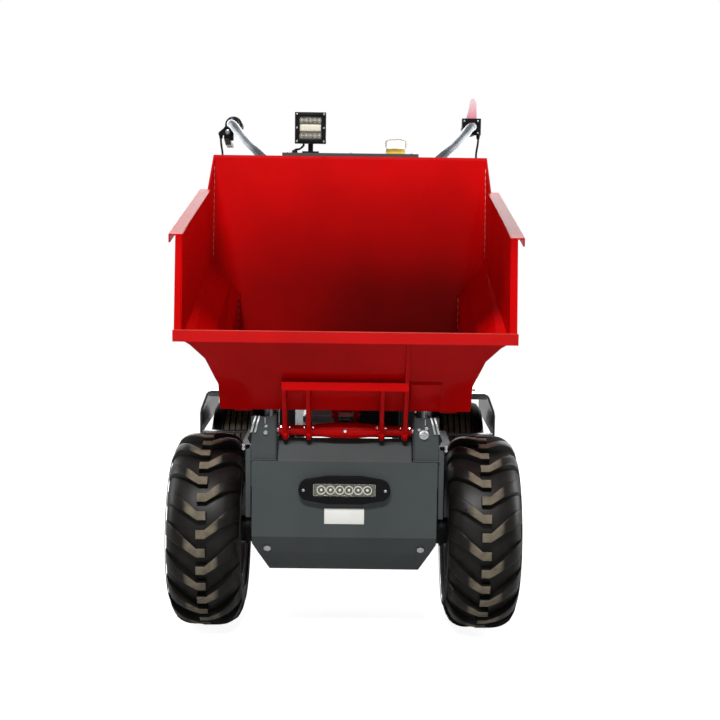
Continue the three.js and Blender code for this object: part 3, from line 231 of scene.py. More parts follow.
@dataclass(frozen=True)
class PowderCoat(Finish):
    """Sprayed and baked powder: a slight orange peel, faint clouds in the tone, fine dust."""

    shade: int = 0x000000
    peel: float = 3.2  # width of one dimple
    depth: float = 0.05
    coat: float = 0.0
    shine: float = 0.5  # strength of the plain reflection
    dust: int = 0x8C8378
    dust_amount: float = 0.05

    def dress(self, tree: bpy.types.NodeTree, shader: bpy.types.Node, where: bpy.types.NodeSocket) -> None:
        """Adds the peel, the clouds and the dust.

        Args:
            tree: The material's node tree.
            shader: Its Principled shader.
            where: Object coordinates in metres.
        """
        clouds = add(tree, "TexNoise", {"Vector": where, "Scale": per_mm(160), "Detail": 3.0})
        peel = add(tree, "TexNoise", {"Vector": where, "Scale": per_mm(self.peel), "Detail": 1.0})
        grit = add(tree, "TexNoise", {"Vector": where, "Scale": per_mm(9), "Detail": 6.0, "Roughness": 0.7})
        toned = blend_colours(
            tree, band(tree, clouds.outputs[0], 0.35, 0.75), srgb(self.colour), srgb(self.shade)
        )
        specks = band(tree, grit.outputs[0], 0.56, 0.78, (0.0, self.dust_amount))
        dusty = blend_colours(tree, specks, toned, srgb(self.dust))
        tree.links.new(dusty, shader.inputs["Base Color"])
        sheen = band(tree, grit.outputs[0], 0.3, 0.8, (self.roughness - 0.05, self.roughness + 0.1))
        tree.links.new(sheen, shader.inputs["Roughness"])
        shader.inputs["Specular IOR Level"].default_value = self.shine
        shader.inputs["Coat Weight"].default_value = self.coat
        shader.inputs["Coat Roughness"].default_value = 0.06
        self.rough(tree, shader, peel.outputs[0], self.depth)


@dataclass(frozen=True)
class PlatedSteel(Finish):
    """Zinc or chrome on steel: crystal patches in the tone, fine drawing lines in the gloss."""

    spangle: float = 7.0
    contrast: float = 0.12

    def dress(self, tree: bpy.types.NodeTree, shader: bpy.types.Node, where: bpy.types.NodeSocket) -> None:
        """Adds the crystals and their change of gloss.

        Args:
            tree: The material's node tree.
            shader: Its Principled shader.
            where: Object coordinates in metres.
        """
        crystals = add(tree, "TexVoronoi", {"Vector": where, "Scale": per_mm(self.spangle)})
        grain = add(tree, "TexNoise", {"Vector": where, "Scale": per_mm(1.5), "Detail": 4.0})
        tone = band(tree, crystals.outputs["Color"], 0.0, 1.0, (0.0, self.contrast))
        shaded = blend_colours(tree, tone, srgb(self.colour), srgb(0x6A6E72))
        tree.links.new(shaded, shader.inputs["Base Color"])
        low, high = self.roughness - 0.04, self.roughness + 0.1
        tree.links.new(band(tree, grain.outputs[0], 0.3, 0.7, (low, high)), shader.inputs["Roughness"])
        self.rough(tree, shader, grain.outputs[0], 0.01)


@dataclass(frozen=True)
class CastMetal(Finish):
    """Sand-cast metal: a coarse grain with darker pits."""

    grain: float = 1.8
    depth: float = 0.12

    def dress(self, tree: bpy.types.NodeTree, shader: bpy.types.Node, where: bpy.types.NodeSocket) -> None:
        """Adds the grain and the pits.

        Args:
            tree: The material's node tree.
            shader: Its Principled shader.
            where: Object coordinates in metres.
        """
        grain = add(tree, "TexNoise", {"Vector": where, "Scale": per_mm(self.grain), "Detail": 5.0})
        stain = add(tree, "TexNoise", {"Vector": where, "Scale": per_mm(45), "Detail": 4.0})
        pits = blend_colours(
            tree, band(tree, grain.outputs[0], 0.6, 0.35, (0.0, 0.35)), srgb(self.colour), srgb(0x2A2B2C)
        )
        aged = blend_colours(tree, band(tree, stain.outputs[0], 0.5, 0.8, (0.0, 0.35)), pits, srgb(0x5A5650))
        tree.links.new(aged, shader.inputs["Base Color"])
        self.rough(tree, shader, grain.outputs[0], self.depth)


@dataclass(frozen=True)
class TreadRubber(Finish):
    """Cured tyre rubber: near black, with a dusty tan on the faces that meet the ground."""

    axle_y: float = 0.0
    axle_z: float = 203.0
    contact: float = 202.4  # radius from which a face meets the ground
    fringe: float = 1.4  # how far below that radius the dust thins out
    dusty: int = 0x776E5E

    def dress(self, tree: bpy.types.NodeTree, shader: bpy.types.Node, where: bpy.types.NodeSocket) -> None:
        """Adds the dust by distance from the axle, and a fine moulded grain.

        Args:
            tree: The material's node tree.
            shader: Its Principled shader.
            where: Object coordinates in metres.
        """
        centre = ((self.axle_y + AXLE_SHIFT) * MM, self.axle_z * MM)
        moved = add(tree, "Mapping", {"Vector": where, "Location": (0, -centre[0], -centre[1])})
        split = add(tree, "SeparateXYZ", {0: moved.outputs[0]})
        flat = add(tree, "CombineXYZ", {"Y": split.outputs["Y"], "Z": split.outputs["Z"]})
        reach = add(tree, "VectorMath", {0: flat.outputs[0]}, operation="LENGTH").outputs["Value"]
        worn = band(tree, reach, (self.contact - self.fringe) * MM, self.contact * MM)
        patches = add(tree, "TexNoise", {"Vector": where, "Scale": per_mm(22), "Detail": 5.0})
        grain = add(tree, "TexNoise", {"Vector": where, "Scale": per_mm(1.6), "Detail": 3.0})
        uneven = band(tree, patches.outputs[0], 0.3, 0.62, (0.45, 1.0))
        amount = add(tree, "Math", {0: worn, 1: uneven}, operation="MULTIPLY").outputs[0]
        base = blend_colours(
            tree, band(tree, patches.outputs[0], 0.4, 0.75), srgb(self.colour), srgb(0x1D1A18)
        )
        shader.inputs["Specular IOR Level"].default_value = 0.22
        tree.links.new(blend_colours(tree, amount, base, srgb(self.dusty)), shader.inputs["Base Color"])
        tree.links.new(
            band(tree, amount, 0.0, 1.0, (self.roughness, 0.85)), shader.inputs["Roughness"]
        )
        self.rough(tree, shader, grain.outputs[0], 0.08)


@dataclass(frozen=True)
class Moulded(Finish):
    """Injection-moulded plastic or soft rubber: a fine spark-eroded grain."""

    grain: float = 1.1
    depth: float = 0.04
    glow: float = 0.0  # light let through
    tint: int = 0x000000
    shine: float = 0.2

    def dress(self, tree: bpy.types.NodeTree, shader: bpy.types.Node, where: bpy.types.NodeSocket) -> None:
        """Adds the grain and a faint change of tone.

        Args:
            tree: The material's node tree.
            shader: Its Principled shader.
            where: Object coordinates in metres.
        """
        grain = add(tree, "TexNoise", {"Vector": where, "Scale": per_mm(self.grain), "Detail": 2.0})
        cloud = add(tree, "TexNoise", {"Vector": where, "Scale": per_mm(30), "Detail": 3.0})
        toned = blend_colours(
            tree, band(tree, cloud.outputs[0], 0.4, 0.75, (0.0, 0.4)), srgb(self.colour), srgb(self.tint)
        )
        tree.links.new(toned, shader.inputs["Base Color"])
        low, high = self.roughness - 0.06, self.roughness + 0.06
        tree.links.new(band(tree, cloud.outputs[0], 0.3, 0.7, (low, high)), shader.inputs["Roughness"])
        shader.inputs["Transmission Weight"].default_value = self.glow
        shader.inputs["IOR"].default_value = 1.49
        shader.inputs["Specular IOR Level"].default_value = self.shine
        self.rough(tree, shader, grain.outputs[0], self.depth)


@dataclass(frozen=True)
class TopHighlightResin(Moulded):
    """Tinted see-through plastic, paled towards its top as a painted highlight."""

    low: float = 1112.0
    high: float = 1160.0

    def dress(self, tree: bpy.types.NodeTree, shader: bpy.types.Node, where: bpy.types.NodeSocket) -> None:
        """Adds the grain, then pales the colour upwards as a painted highlight.

        Args:
            tree: The material's node tree.
            shader: Its Principled shader.
            where: Object coordinates in metres.
        """
        super().dress(tree, shader, where)
        # Paler towards the top: a painted highlight on the lever's upper end.
        height = add(tree, "SeparateXYZ", {0: where}).outputs["Z"]
        amount = band(tree, height, self.low * MM, self.high * MM)
        top_highlighted = blend_colours(tree, amount, srgb(self.colour), srgb(self.tint))
        tree.links.new(top_highlighted, shader.inputs["Base Color"])


@dataclass(frozen=True)
class ReflectorChrome(Finish):
    """Vacuum-metallised lamp optics: a mirror with a fine facet pattern."""

    facet: float = 3.0

    def dress(self, tree: bpy.types.NodeTree, shader: bpy.types.Node, where: bpy.types.NodeSocket) -> None:
        """Adds the facets.

        Args:
            tree: The material's node tree.
            shader: Its Principled shader.
            where: Object coordinates in metres.
        """
        facets = add(tree, "TexVoronoi", {"Vector": where, "Scale": per_mm(self.facet)})
        tone = blend_colours(
            tree, band(tree, facets.outputs["Distance"], 0.0, 0.8), srgb(self.colour), srgb(0x8E8D84)
        )
        tree.links.new(tone, shader.inputs["Base Color"])
        self.rough(tree, shader, facets.outputs["Distance"], 0.25)


RED = PowderCoat(
    "gloss_red_powder_coat", "red_paint", 0xD00305, 0.3, 0.0, 1.6, shade=0xBC0203, coat=0.12, shine=0.03,
    dust=0x86100C, dust_amount=0.15,
)
GREY = PowderCoat("slate_grey_powder_coat", "grey_paint", 0x454B4B, 0.5, 0.0, 1.6, shade=0x3D4343, shine=0.3)
# A pale red that paints the highlight along the lip's upper edge.
LIP_HIGHLIGHT_RED = PowderCoat(
    "lip_highlight_red_coat", "red_paint", 0xE0574C, 0.35, 0.0, 1.2, shade=0xC83A30, shine=0.1
)
BLACK = PowderCoat("satin_black_enamel", "black_paint", 0x121314, 0.42, 0.0, 1.5, shade=0x0C0D0E, shine=0.2)
GUARD_GREY = PowderCoat(
    "glossy_guard_enamel", "grey_paint", 0x4C5153, 0.16, 0.0, 1.6, shade=0x43484A, shine=0.9, coat=0.4
)
TANK_RED = PowderCoat("tank_red_enamel", "red_paint", 0xB60A0C, 0.22, 0.0, 2.5, shade=0x9C0608, coat=0.6)
ZINC = PlatedSteel("zinc_plated_steel", "zinc_steel", 0xB9BDC1, 0.24, 1.0)
GALVANISED = PlatedSteel("galvanised_tube", "zinc_steel", 0x7B828B, 0.24, 1.0, spangle=11.0, contrast=0.1)
BRIGHT = PlatedSteel(
    "polished_stainless_steel", "zinc_steel", 0xDADCDD, 0.16, 1.0, spangle=3.0, contrast=0.05
)
# Pale metal for the spot welds: real welds, with their glints painted into the colour.
WELD_GLINT = PlatedSteel("weld_glint_steel", "zinc_steel", 0xE6C9C4, 0.28, 0.7, spangle=3.0, contrast=0.1)
CHROME = PlatedSteel("hard_chromed_rod", "chrome_steel", 0xD2D5D8, 0.08, 1.0, spangle=14.0, contrast=0.04)
CAST = CastMetal("sand_cast_aluminium", "cast_aluminium", 0xA3A6A8, 0.46, 0.85, 1.2)
SOFT_RUBBER = Moulded("nitrile_rubber", "soft_rubber", 0x141414, 0.6, grain=1.4, depth=0.07, tint=0x1E1D1C)
ABS = Moulded("black_textured_abs", "black_plastic", 0x0D0D0F, 0.42, 0.0, 1.0, tint=0x151517, shine=0.12)
# The lever grows paler upwards, a painted highlight.
ROSE = TopHighlightResin("rose_tinted_acetal", "red_plastic", 0xF09AAB, 0.5, glow=0.12, tint=0xF8DCE0)
YELLOW = Moulded("yellow_polycarbonate", "yellow_plastic", 0xF0CB4A, 0.32, glow=0.1, tint=0xF3DA83)
MILKY = Moulded(
    "clear_polycarbonate_dome", "yellow_plastic", 0xFFFEF8, 0.2, glow=0.7, tint=0xFFFFFF, shine=0.4
)
WHITE_SIGN = Moulded("white_coated_sheet", "grey_paint", 0xEFEFEA, 0.35, tint=0xE2E1DA, depth=0.01)
DARK_CHROME = ReflectorChrome("smoked_reflector", "chrome_steel", 0x4A4A40, 0.2, 0.9, facet=2.4)
SATIN_RING = Moulded("satin_nickel_ring", "chrome_steel", 0xCFCFC4, 0.35, tint=0xE6E6DC, depth=0.01)
MIRROR = ReflectorChrome("metallised_reflector", "chrome_steel", 0xECEDE6, 0.12, 1.0)
CREAM_LENS = Moulded("cream_lamp_lens", "black_plastic", 0xF1EFDD, 0.2, tint=0xD9D7C0, grain=2.6, depth=0.3)
BRASS = CastMetal("turned_brass", "zinc_steel", 0xB08A3C, 0.3, 1.0, grain=0.8, depth=0.02)


# ------------------------------------------------------------------ shaping


class Shape:
    """A mesh in the making, in millimetres, with the operators that this machine needs."""

    def __init__(self) -> None:
        """Starts an empty mesh."""
        self.bm = bmesh.new()
        self.finishes: list[Finish] = []
        self.current = 0

    def use(self, finish: Finish) -> "Shape":
        """Sets the finish that the next parts of the mesh carry.

        Args:
            finish: The finish to use from here on.

        Returns:
            The shape itself.
        """
        if finish not in self.finishes:
            self.finishes.append(finish)
        self.current = self.finishes.index(finish)
        return self

    def mark(self, verts: Sequence[bmesh.types.BMVert]) -> list[bmesh.types.BMVert]:
        """Gives the faces on some vertices the current finish.

        Args:
            verts: The vertices of a new part.

        Returns:
            The same vertices as a list.
        """
        kept = [v for v in verts if v.is_valid]
        for face in {f for v in kept for f in v.link_faces}:
            face.material_index = self.current
        return kept

    def soften(
        self, verts: Sequence[bmesh.types.BMVert], radius: float, segments: int = 2, angle: float = 25.0
    ) -> list[bmesh.types.BMVert]:
        """Bevels the sharp edges of a part.

        Args:
            verts: The part's vertices.
            radius: The bevel's width; nothing happens at 0.
            segments: Its number of steps.
            angle: Edges flatter than this many degrees stay.

        Returns:
            The part's vertices after the bevel.
        """
        if radius <= 0:
            return self.mark(verts)
        within = set(verts)
        edges = {e for v in verts for e in v.link_edges if e.other_vert(v) in within}
        sharp = [e for e in edges if len(e.link_faces) == 2 and e.calc_face_angle() > math.radians(angle)]
        made = bmesh.ops.bevel(
            self.bm, geom=sharp, offset=radius, offset_type="OFFSET", affect="EDGES",
            segments=segments, profile=0.5, material=-1, clamp_overlap=True,
        )
        return self.mark([v for v in verts if v.is_valid] + made["verts"])

    def block(
        self, low: Point, high: Point, bevel: float = 0.8, segments: int = 2
    ) -> list[bmesh.types.BMVert]:
        """Adds a block between two corners.

        Args:
            low: The corner with the low values.
            high: The corner with the high values.
            bevel: The radius of its edges.
            segments: The bevel's steps.

        Returns:
            The block's vertices.
        """
        start, end = Vector(low), Vector(high)
        matrix = Matrix.Translation((start + end) / 2) @ Matrix.Diagonal((*(end - start), 1.0))
        made = bmesh.ops.create_cube(self.bm, size=1.0, matrix=matrix)
        return self.soften(made["verts"], bevel, segments)

    def rod(
        self, start: Point, end: Point, radius: float, end_radius: float | None = None,
        sides: int = 24, bevel: float = 0.0,
    ) -> list[bmesh.types.BMVert]:
        """Adds a round, tapered or many-sided rod between two points.

        Args:
            start: The first end's centre.
            end: The second end's centre.
            radius: The radius at the start.
            end_radius: The radius at the end, or the same.
            sides: The number of sides; 6 makes a hexagon.
            bevel: The radius of the end edges.

        Returns:
            The rod's vertices.
        """
        a, b = Vector(start), Vector(end)
        turn = (b - a).to_track_quat("Z", "Y").to_matrix().to_4x4()
        made = bmesh.ops.create_cone(
            self.bm, cap_ends=True, segments=sides, radius1=radius,
            radius2=radius if end_radius is None else end_radius,
            depth=(b - a).length, matrix=Matrix.Translation((a + b) / 2) @ turn,
        )
        return self.soften(made["verts"], bevel, 2, 50.0)

    def turned(
        self, profile: Sequence[tuple[float, float]], centre: Point, axis: Axis, steps: int = 48
    ) -> list[bmesh.types.BMVert]:
        """Adds a shape turned about an axis.

        Args:
            profile: Pairs of radius and place along the axis, closed or ending on the axis.
            centre: A point on the axis that the places count from.
            axis: The axis.
            steps: The number of steps round.

        Returns:
            The shape's vertices.
        """
        along = axis.vector
        out = Vector((0.0, 0.0, 1.0)) if axis is not Axis.Z else Vector((1.0, 0.0, 0.0))
        middle = Vector(centre)
        closed = tuple(profile[0]) == tuple(profile[-1])
        places = profile[:-1] if closed else profile
        verts = [self.bm.verts.new(middle + out * r + along * a) for r, a in places]
        edges = [self.bm.edges.new(pair) for pair in zip(verts, verts[1:])]
        if closed:
            edges.append(self.bm.edges.new((verts[-1], verts[0])))
        before = set(self.bm.verts) - set(verts)
        bmesh.ops.spin(
            self.bm, geom=verts + edges, cent=middle, axis=along, dvec=(0, 0, 0),
            angle=math.tau, steps=steps, use_merge=True, use_duplicate=False,
        )
        made = [v for v in self.bm.verts if v not in before]
        bmesh.ops.remove_doubles(self.bm, verts=made, dist=0.01)
        made = [v for v in made if v.is_valid]
        faces = list({f for v in made for f in v.link_faces})
        bmesh.ops.recalc_face_normals(self.bm, faces=faces)
        return self.mark(made)

    def panel(
        self, corners: Sequence[Point], depth: Point, bevel: float = 0.0, segments: int = 2
    ) -> list[bmesh.types.BMVert]:
        """Adds a flat outline drawn out to a solid.

        Args:
            corners: The outline's corners in order.
            depth: How far and which way it is drawn out.
            bevel: The radius of its edges.
            segments: The bevel's steps.

        Returns:
            The panel's vertices.
        """
        verts = [self.bm.verts.new(Vector(c)) for c in corners]
        face = self.bm.faces.new(verts)
        grown = bmesh.ops.extrude_face_region(self.bm, geom=[face], use_keep_orig=True)
        moved = [g for g in grown["geom"] if isinstance(g, bmesh.types.BMVert)]
        bmesh.ops.translate(self.bm, verts=moved, vec=Vector(depth))
        made = verts + moved
        faces = list({f for v in made for f in v.link_faces})
        bmesh.ops.recalc_face_normals(self.bm, faces=faces)
        return self.soften(made, bevel, segments)

    def tube(self, points: Sequence[Point], radius: float, sides: int = 20, smooth: int = 6) -> None:
        """Adds a round tube along a smooth line through some points.

        Args:
            points: The points it passes through.
            radius: The tube's radius.
            sides: The sides of its section.
            smooth: Steps between two points.
        """
        line = rounded_line(points, smooth)
        ring_at = [along_line(line, i) for i in range(len(line))]
        first = bmesh.ops.create_circle(
            self.bm, cap_ends=True, segments=sides, radius=radius, matrix=ring_at[0]
        )["verts"]
        made, previous, place = list(first), list(first), ring_at[0]
        cap = next(f for f in first[0].link_faces)
        for matrix in ring_at[1:]:
            grown = bmesh.ops.extrude_face_region(self.bm, geom=[cap])["geom"]
            previous = [g for g in grown if isinstance(g, bmesh.types.BMVert)]
            cap = next(g for g in grown if isinstance(g, bmesh.types.BMFace))
            bmesh.ops.transform(self.bm, matrix=matrix @ place.inverted(), verts=previous)
            made += previous
            place = matrix
        faces = list({f for v in made for f in v.link_faces})
        bmesh.ops.recalc_face_normals(self.bm, faces=faces)
        self.mark(made)

    def hexagon(self, centre: Point, facing: Point, size: float = 13.0, washer: bool = True) -> None:
        """Adds a hexagon bolt head, on a washer if wanted.

        Args:
            centre: The point on the face it stands on.
            facing: The unit direction it points to.
            size: The distance across its flats.
            washer: Whether a washer lies under it.
        """
        at, out = Vector(centre), Vector(facing).normalized()
        lift = 0.0
        if washer:
            self.rod(at - out * 0.4, at + out * 1.6, size * 0.82, sides=24, bevel=0.3)
            lift = 1.6
        high = size * 0.45
        self.rod(at + out * lift, at + out * (lift + high), size / 1.732, sides=6, bevel=0.5)
        top = lift + high
        self.rod(at + out * (top - 0.2), at + out * (top + 0.5), size * 0.4, size * 0.36, sides=20)

    def button(self, centre: Point, facing: Point, size: float = 7.0) -> None:
        """Adds a round socket-head screw.

        Args:
            centre: The point on the face it stands on.
            facing: The unit direction it points to.
            size: The head's diameter.
        """
        at, out = Vector(centre), Vector(facing).normalized()
        self.rod(at - out * 0.3, at + out * size * 0.35, size / 2, size * 0.42, sides=20, bevel=0.3)
        self.rod(at + out * size * 0.3, at + out * (size * 0.35 + 0.05), size * 0.2, size * 0.17, sides=6)

    def bead(self, start: Point, end: Point, radius: float, pitch: float = 4.0) -> None:
        """Adds a hand-laid weld: a row of overlapping ripples.

        Args:
            start: Where the weld starts.
            end: Where it ends.
            radius: The weld's radius.
            pitch: The distance between ripples.
        """
        a, b = Vector(start), Vector(end)
        count = max(2, int((b - a).length / pitch))
        lean = (b - a).to_track_quat("Z", "Y").to_matrix().to_4x4()
        for i in range(count + 1):
            wobble = 1.0 + 0.14 * math.sin(i * 2.4)
            matrix = (
                Matrix.Translation(a.lerp(b, i / count)) @ lean
                @ Matrix.Diagonal((radius * wobble, radius * wobble, pitch * 0.8, 1.0))
            )
            made = bmesh.ops.create_icosphere(self.bm, subdivisions=1, radius=1.0, matrix=matrix)
            self.mark(made["verts"])

    def finish(self, name: str, body: str, smooth: float = 38.0) -> bpy.types.Object:
        """Turns the shape into a piece that rides on a body.

        Args:
            name: The piece's name.
            body: The CAD body it moves with.
            smooth: Edges flatter than this many degrees shade smoothly.

        Returns:
            The new object.
        """
        bmesh.ops.transform(
            self.bm, verts=self.bm.verts,
            matrix=Matrix.Scale(MM, 4) @ Matrix.Translation((0, AXLE_SHIFT, 0)),
        )
        mesh = bpy.data.meshes.new(name)
        self.bm.to_mesh(mesh)
        self.bm.free()
        mesh.shade_smooth()
        mesh.set_sharp_from_angle(angle=math.radians(smooth))
        for finish in self.finishes:
            mesh.materials.append(finish.material())
        made = set_out(name, mesh)
        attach(made, body)
        log.info("%s: %d faces", name, len(mesh.polygons))
        return made


def set_out(name: str, data: bpy.types.ID) -> bpy.types.Object:
    """Makes an object and puts it in the scene.

    Args:
        name: The object's name.
        data: Its mesh, lamp or camera.

    Returns:
        The object.
    """
    made = bpy.data.objects.new(name, data)
    bpy.context.scene.collection.objects.link(made)
    return made


def rounded_line(points: Sequence[Point], steps: int) -> list[Vector]:
    """Draws a smooth line through points.

    Args:
        points: The points it passes through.
        steps: Steps between two of them.

    Returns:
        The points along it.
    """
    line = [Vector(p) for p in points]
    padded = [line[0] * 2 - line[1], *line, line[-1] * 2 - line[-2]]
    made: list[Vector] = []
    for i in range(1, len(padded) - 2):
        p0, p1, p2, p3 = padded[i - 1 : i + 3]
        for k in range(steps):
            t = k / steps
            made.append(
                0.5 * (2 * p1 + (p2 - p0) * t + (2 * p0 - 5 * p1 + 4 * p2 - p3) * t * t
                       + (3 * p1 - p0 - 3 * p2 + p3) * t ** 3)
            )
    return [*made, line[-1]]


def along_line(line: Sequence[Vector], i: int) -> Matrix:
    """Gives the place and turn of a section across a line.

    Args:
        line: The line's points.
        i: The number of the point.

    Returns:
        The matrix that sets a flat section there.
    """
    ahead = line[min(i + 1, len(line) - 1)] - line[max(i - 1, 0)]
    z = ahead.normalized()
    x = Vector((1.0, 0.0, 0.0)) if abs(z.x) < 0.8 else Vector((0.0, 1.0, 0.0))
    x = (x - z * x.dot(z)).normalized()
    turn = Matrix((x, z.cross(x), z)).transposed().to_4x4()
    return Matrix.Translation(line[i]) @ turn


def wear(node: str, finish: Finish) -> None:
    """Gives a CAD node its finish.

    Args:
        node: The node's name.
        finish: The finish it gets.
    """
    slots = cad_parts[node].material_slots
    for entry in slots:
        entry.material = finish.material()


def line_through(a: tuple[float, float], b: tuple[float, float], value: float) -> float:
    """Reads a straight line drawn through two points.

    Args:
        a: The first point, as input and output.
        b: The second point.
        value: The input to read it at.

    Returns:
        The output there.
    """
    return a[1] + (b[1] - a[1]) * (value - a[0]) / (b[0] - a[0])


def read_profile(profile: Sequence[tuple[float, float]], value: float) -> float:
    """Reads a profile of straight pieces at a value.

    Args:
        profile: Pairs of input and output with rising inputs.
        value: The input to read it at.

    Returns:
        The output there.
    """
    for a, b in zip(profile, profile[1:]):
        if value <= b[0]:
            return line_through(a, b, max(value, a[0]))
    return profile[-1][1]


# ------------------------------------------------------------------ wheels


class End(Enum):
    """Which axle a wheel is on."""

    FRONT = "front"
    REAR = "rear"


@dataclass
class Wheel:
    """A wheel's tyre and the small parts on its rim."""

    end: End
    side: str
    radius: float
    half_width: float
    bead: float
    track: float
    axle_y: float
    nuts: int = 5
    nut_circle: float = 58.0
    disc_face: float = 22.0
    hub_end: float = 40.0
    rubber: TreadRubber = field(init=False)

    def __post_init__(self) -> None:
        """Chooses the tyre's rubber by its axle."""
        self.rubber = TreadRubber(
            f"{self.end.value}_tyre_rubber", "tyre_rubber", 0x12110F, 0.42, 0.0, 0.0,
            axle_y=self.axle_y, axle_z=self.radius, contact=self.radius - 0.6,
        )

    @property
    def name(self) -> str:
        """The wheel's place, as its nodes and body say it."""
        return f"{self.end.value}_{{}}_{self.side}"

    @property
    def body(self) -> str:
        """The body it turns with."""
        return self.name.format("wheel")

    @property
    def outward(self) -> int:
        """The sign of X away from the machine."""
        return SIDES[self.side]

    @property
    def centre(self) -> Vector:
        """The wheel's centre."""
        return Vector((self.outward * self.track, self.axle_y, self.radius))

    def carcass(self) -> list[tuple[float, float]]:
        """Gives the tyre's section without its tread, as radius and place across."""
        raise NotImplementedError

    def tread(self, shape: Shape) -> None:
        """Adds the tread to the tyre.

        Args:
            shape: The tyre's shape.
        """

    def section(self) -> list[tuple[float, float]]:
        """Gives the closed section of the whole tyre.

        Returns:
            Pairs of radius and place across.
        """
        outside = self.carcass()
        mirrored = [(r, -x) for r, x in outside]
        bead_half = outside[-1][1]
        inside = [(self.bead + 10, bead_half - 14), (self.bead + 10, 14 - bead_half)]
        return [*mirrored[::-1][:-1], *outside, *inside, mirrored[-1]]

    def build(self) -> None:
        """Builds the tyre and the rim's small parts."""
        shape = Shape().use(self.rubber)
        shape.turned(self.section(), self.centre, Axis.X, 96)
        for x_sign in (1, -1):
            self.side_rings(shape, x_sign)
        self.tread(shape)
        tyre = shape.finish(self.name.format("tread"), self.body, 42)
        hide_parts(self.name.format("tyre"))
        wear(self.name.format("rim"), CAST)
        self.rim_parts()

    def side_rings(self, shape: Shape, x_sign: int) -> None:
        """Adds the moulded rings on one sidewall.

        Args:
            shape: The tyre's shape.
            x_sign: The side of the tyre.
        """
        for share in (0.22, 0.5):
            r = self.bead + (self.radius - self.bead) * share
            x = x_sign * (self.half_width - 3.2 + share * 1.5)
            ring = [(r - 2.5, x - 3), (r - 1, x + x_sign * 2), (r + 1, x + x_sign * 2), (r + 2.5, x - 3)]
            shape.turned([*ring, ring[0]], self.centre, Axis.X, 96)

    def rim_parts(self) -> None:
        """Adds the wheel nuts, the dust cap and the valve."""
        shape = Shape().use(ZINC)
        face = self.outward * self.disc_face
        for i in range(self.nuts):
            angle = math.tau * i / self.nuts
            turned = Vector((0, math.cos(angle), math.sin(angle))) * self.nut_circle
            at = self.centre + turned + Vector((face, 0, 0))
            shape.hexagon(at, (self.outward, 0, 0), 11, washer=False)
        hub = self.outward * self.hub_end
        cap = [(0.0, 0.0), (27.0, 0.0), (27.0, 3.0), (25.0, 6.0), (15.0, 9.0), (0.0, 10.5)]
        shape.turned([(r, hub + self.outward * x) for r, x in cap], self.centre, Axis.X, 40)
        shape.use(BRASS)
        foot = self.centre + Vector((self.outward * self.disc_face, 0, self.bead - 16))
        tip = foot + Vector((self.outward * 22, 0, -6))
        shape.rod(foot, tip, 3.0, sides=12)
        shape.use(SOFT_RUBBER)
        shape.rod(tip, tip + Vector((self.outward * 8, 0, -1.5)), 4.2, sides=14, bevel=0.8)
        shape.finish(self.name.format("wheel_fittings"), self.body)


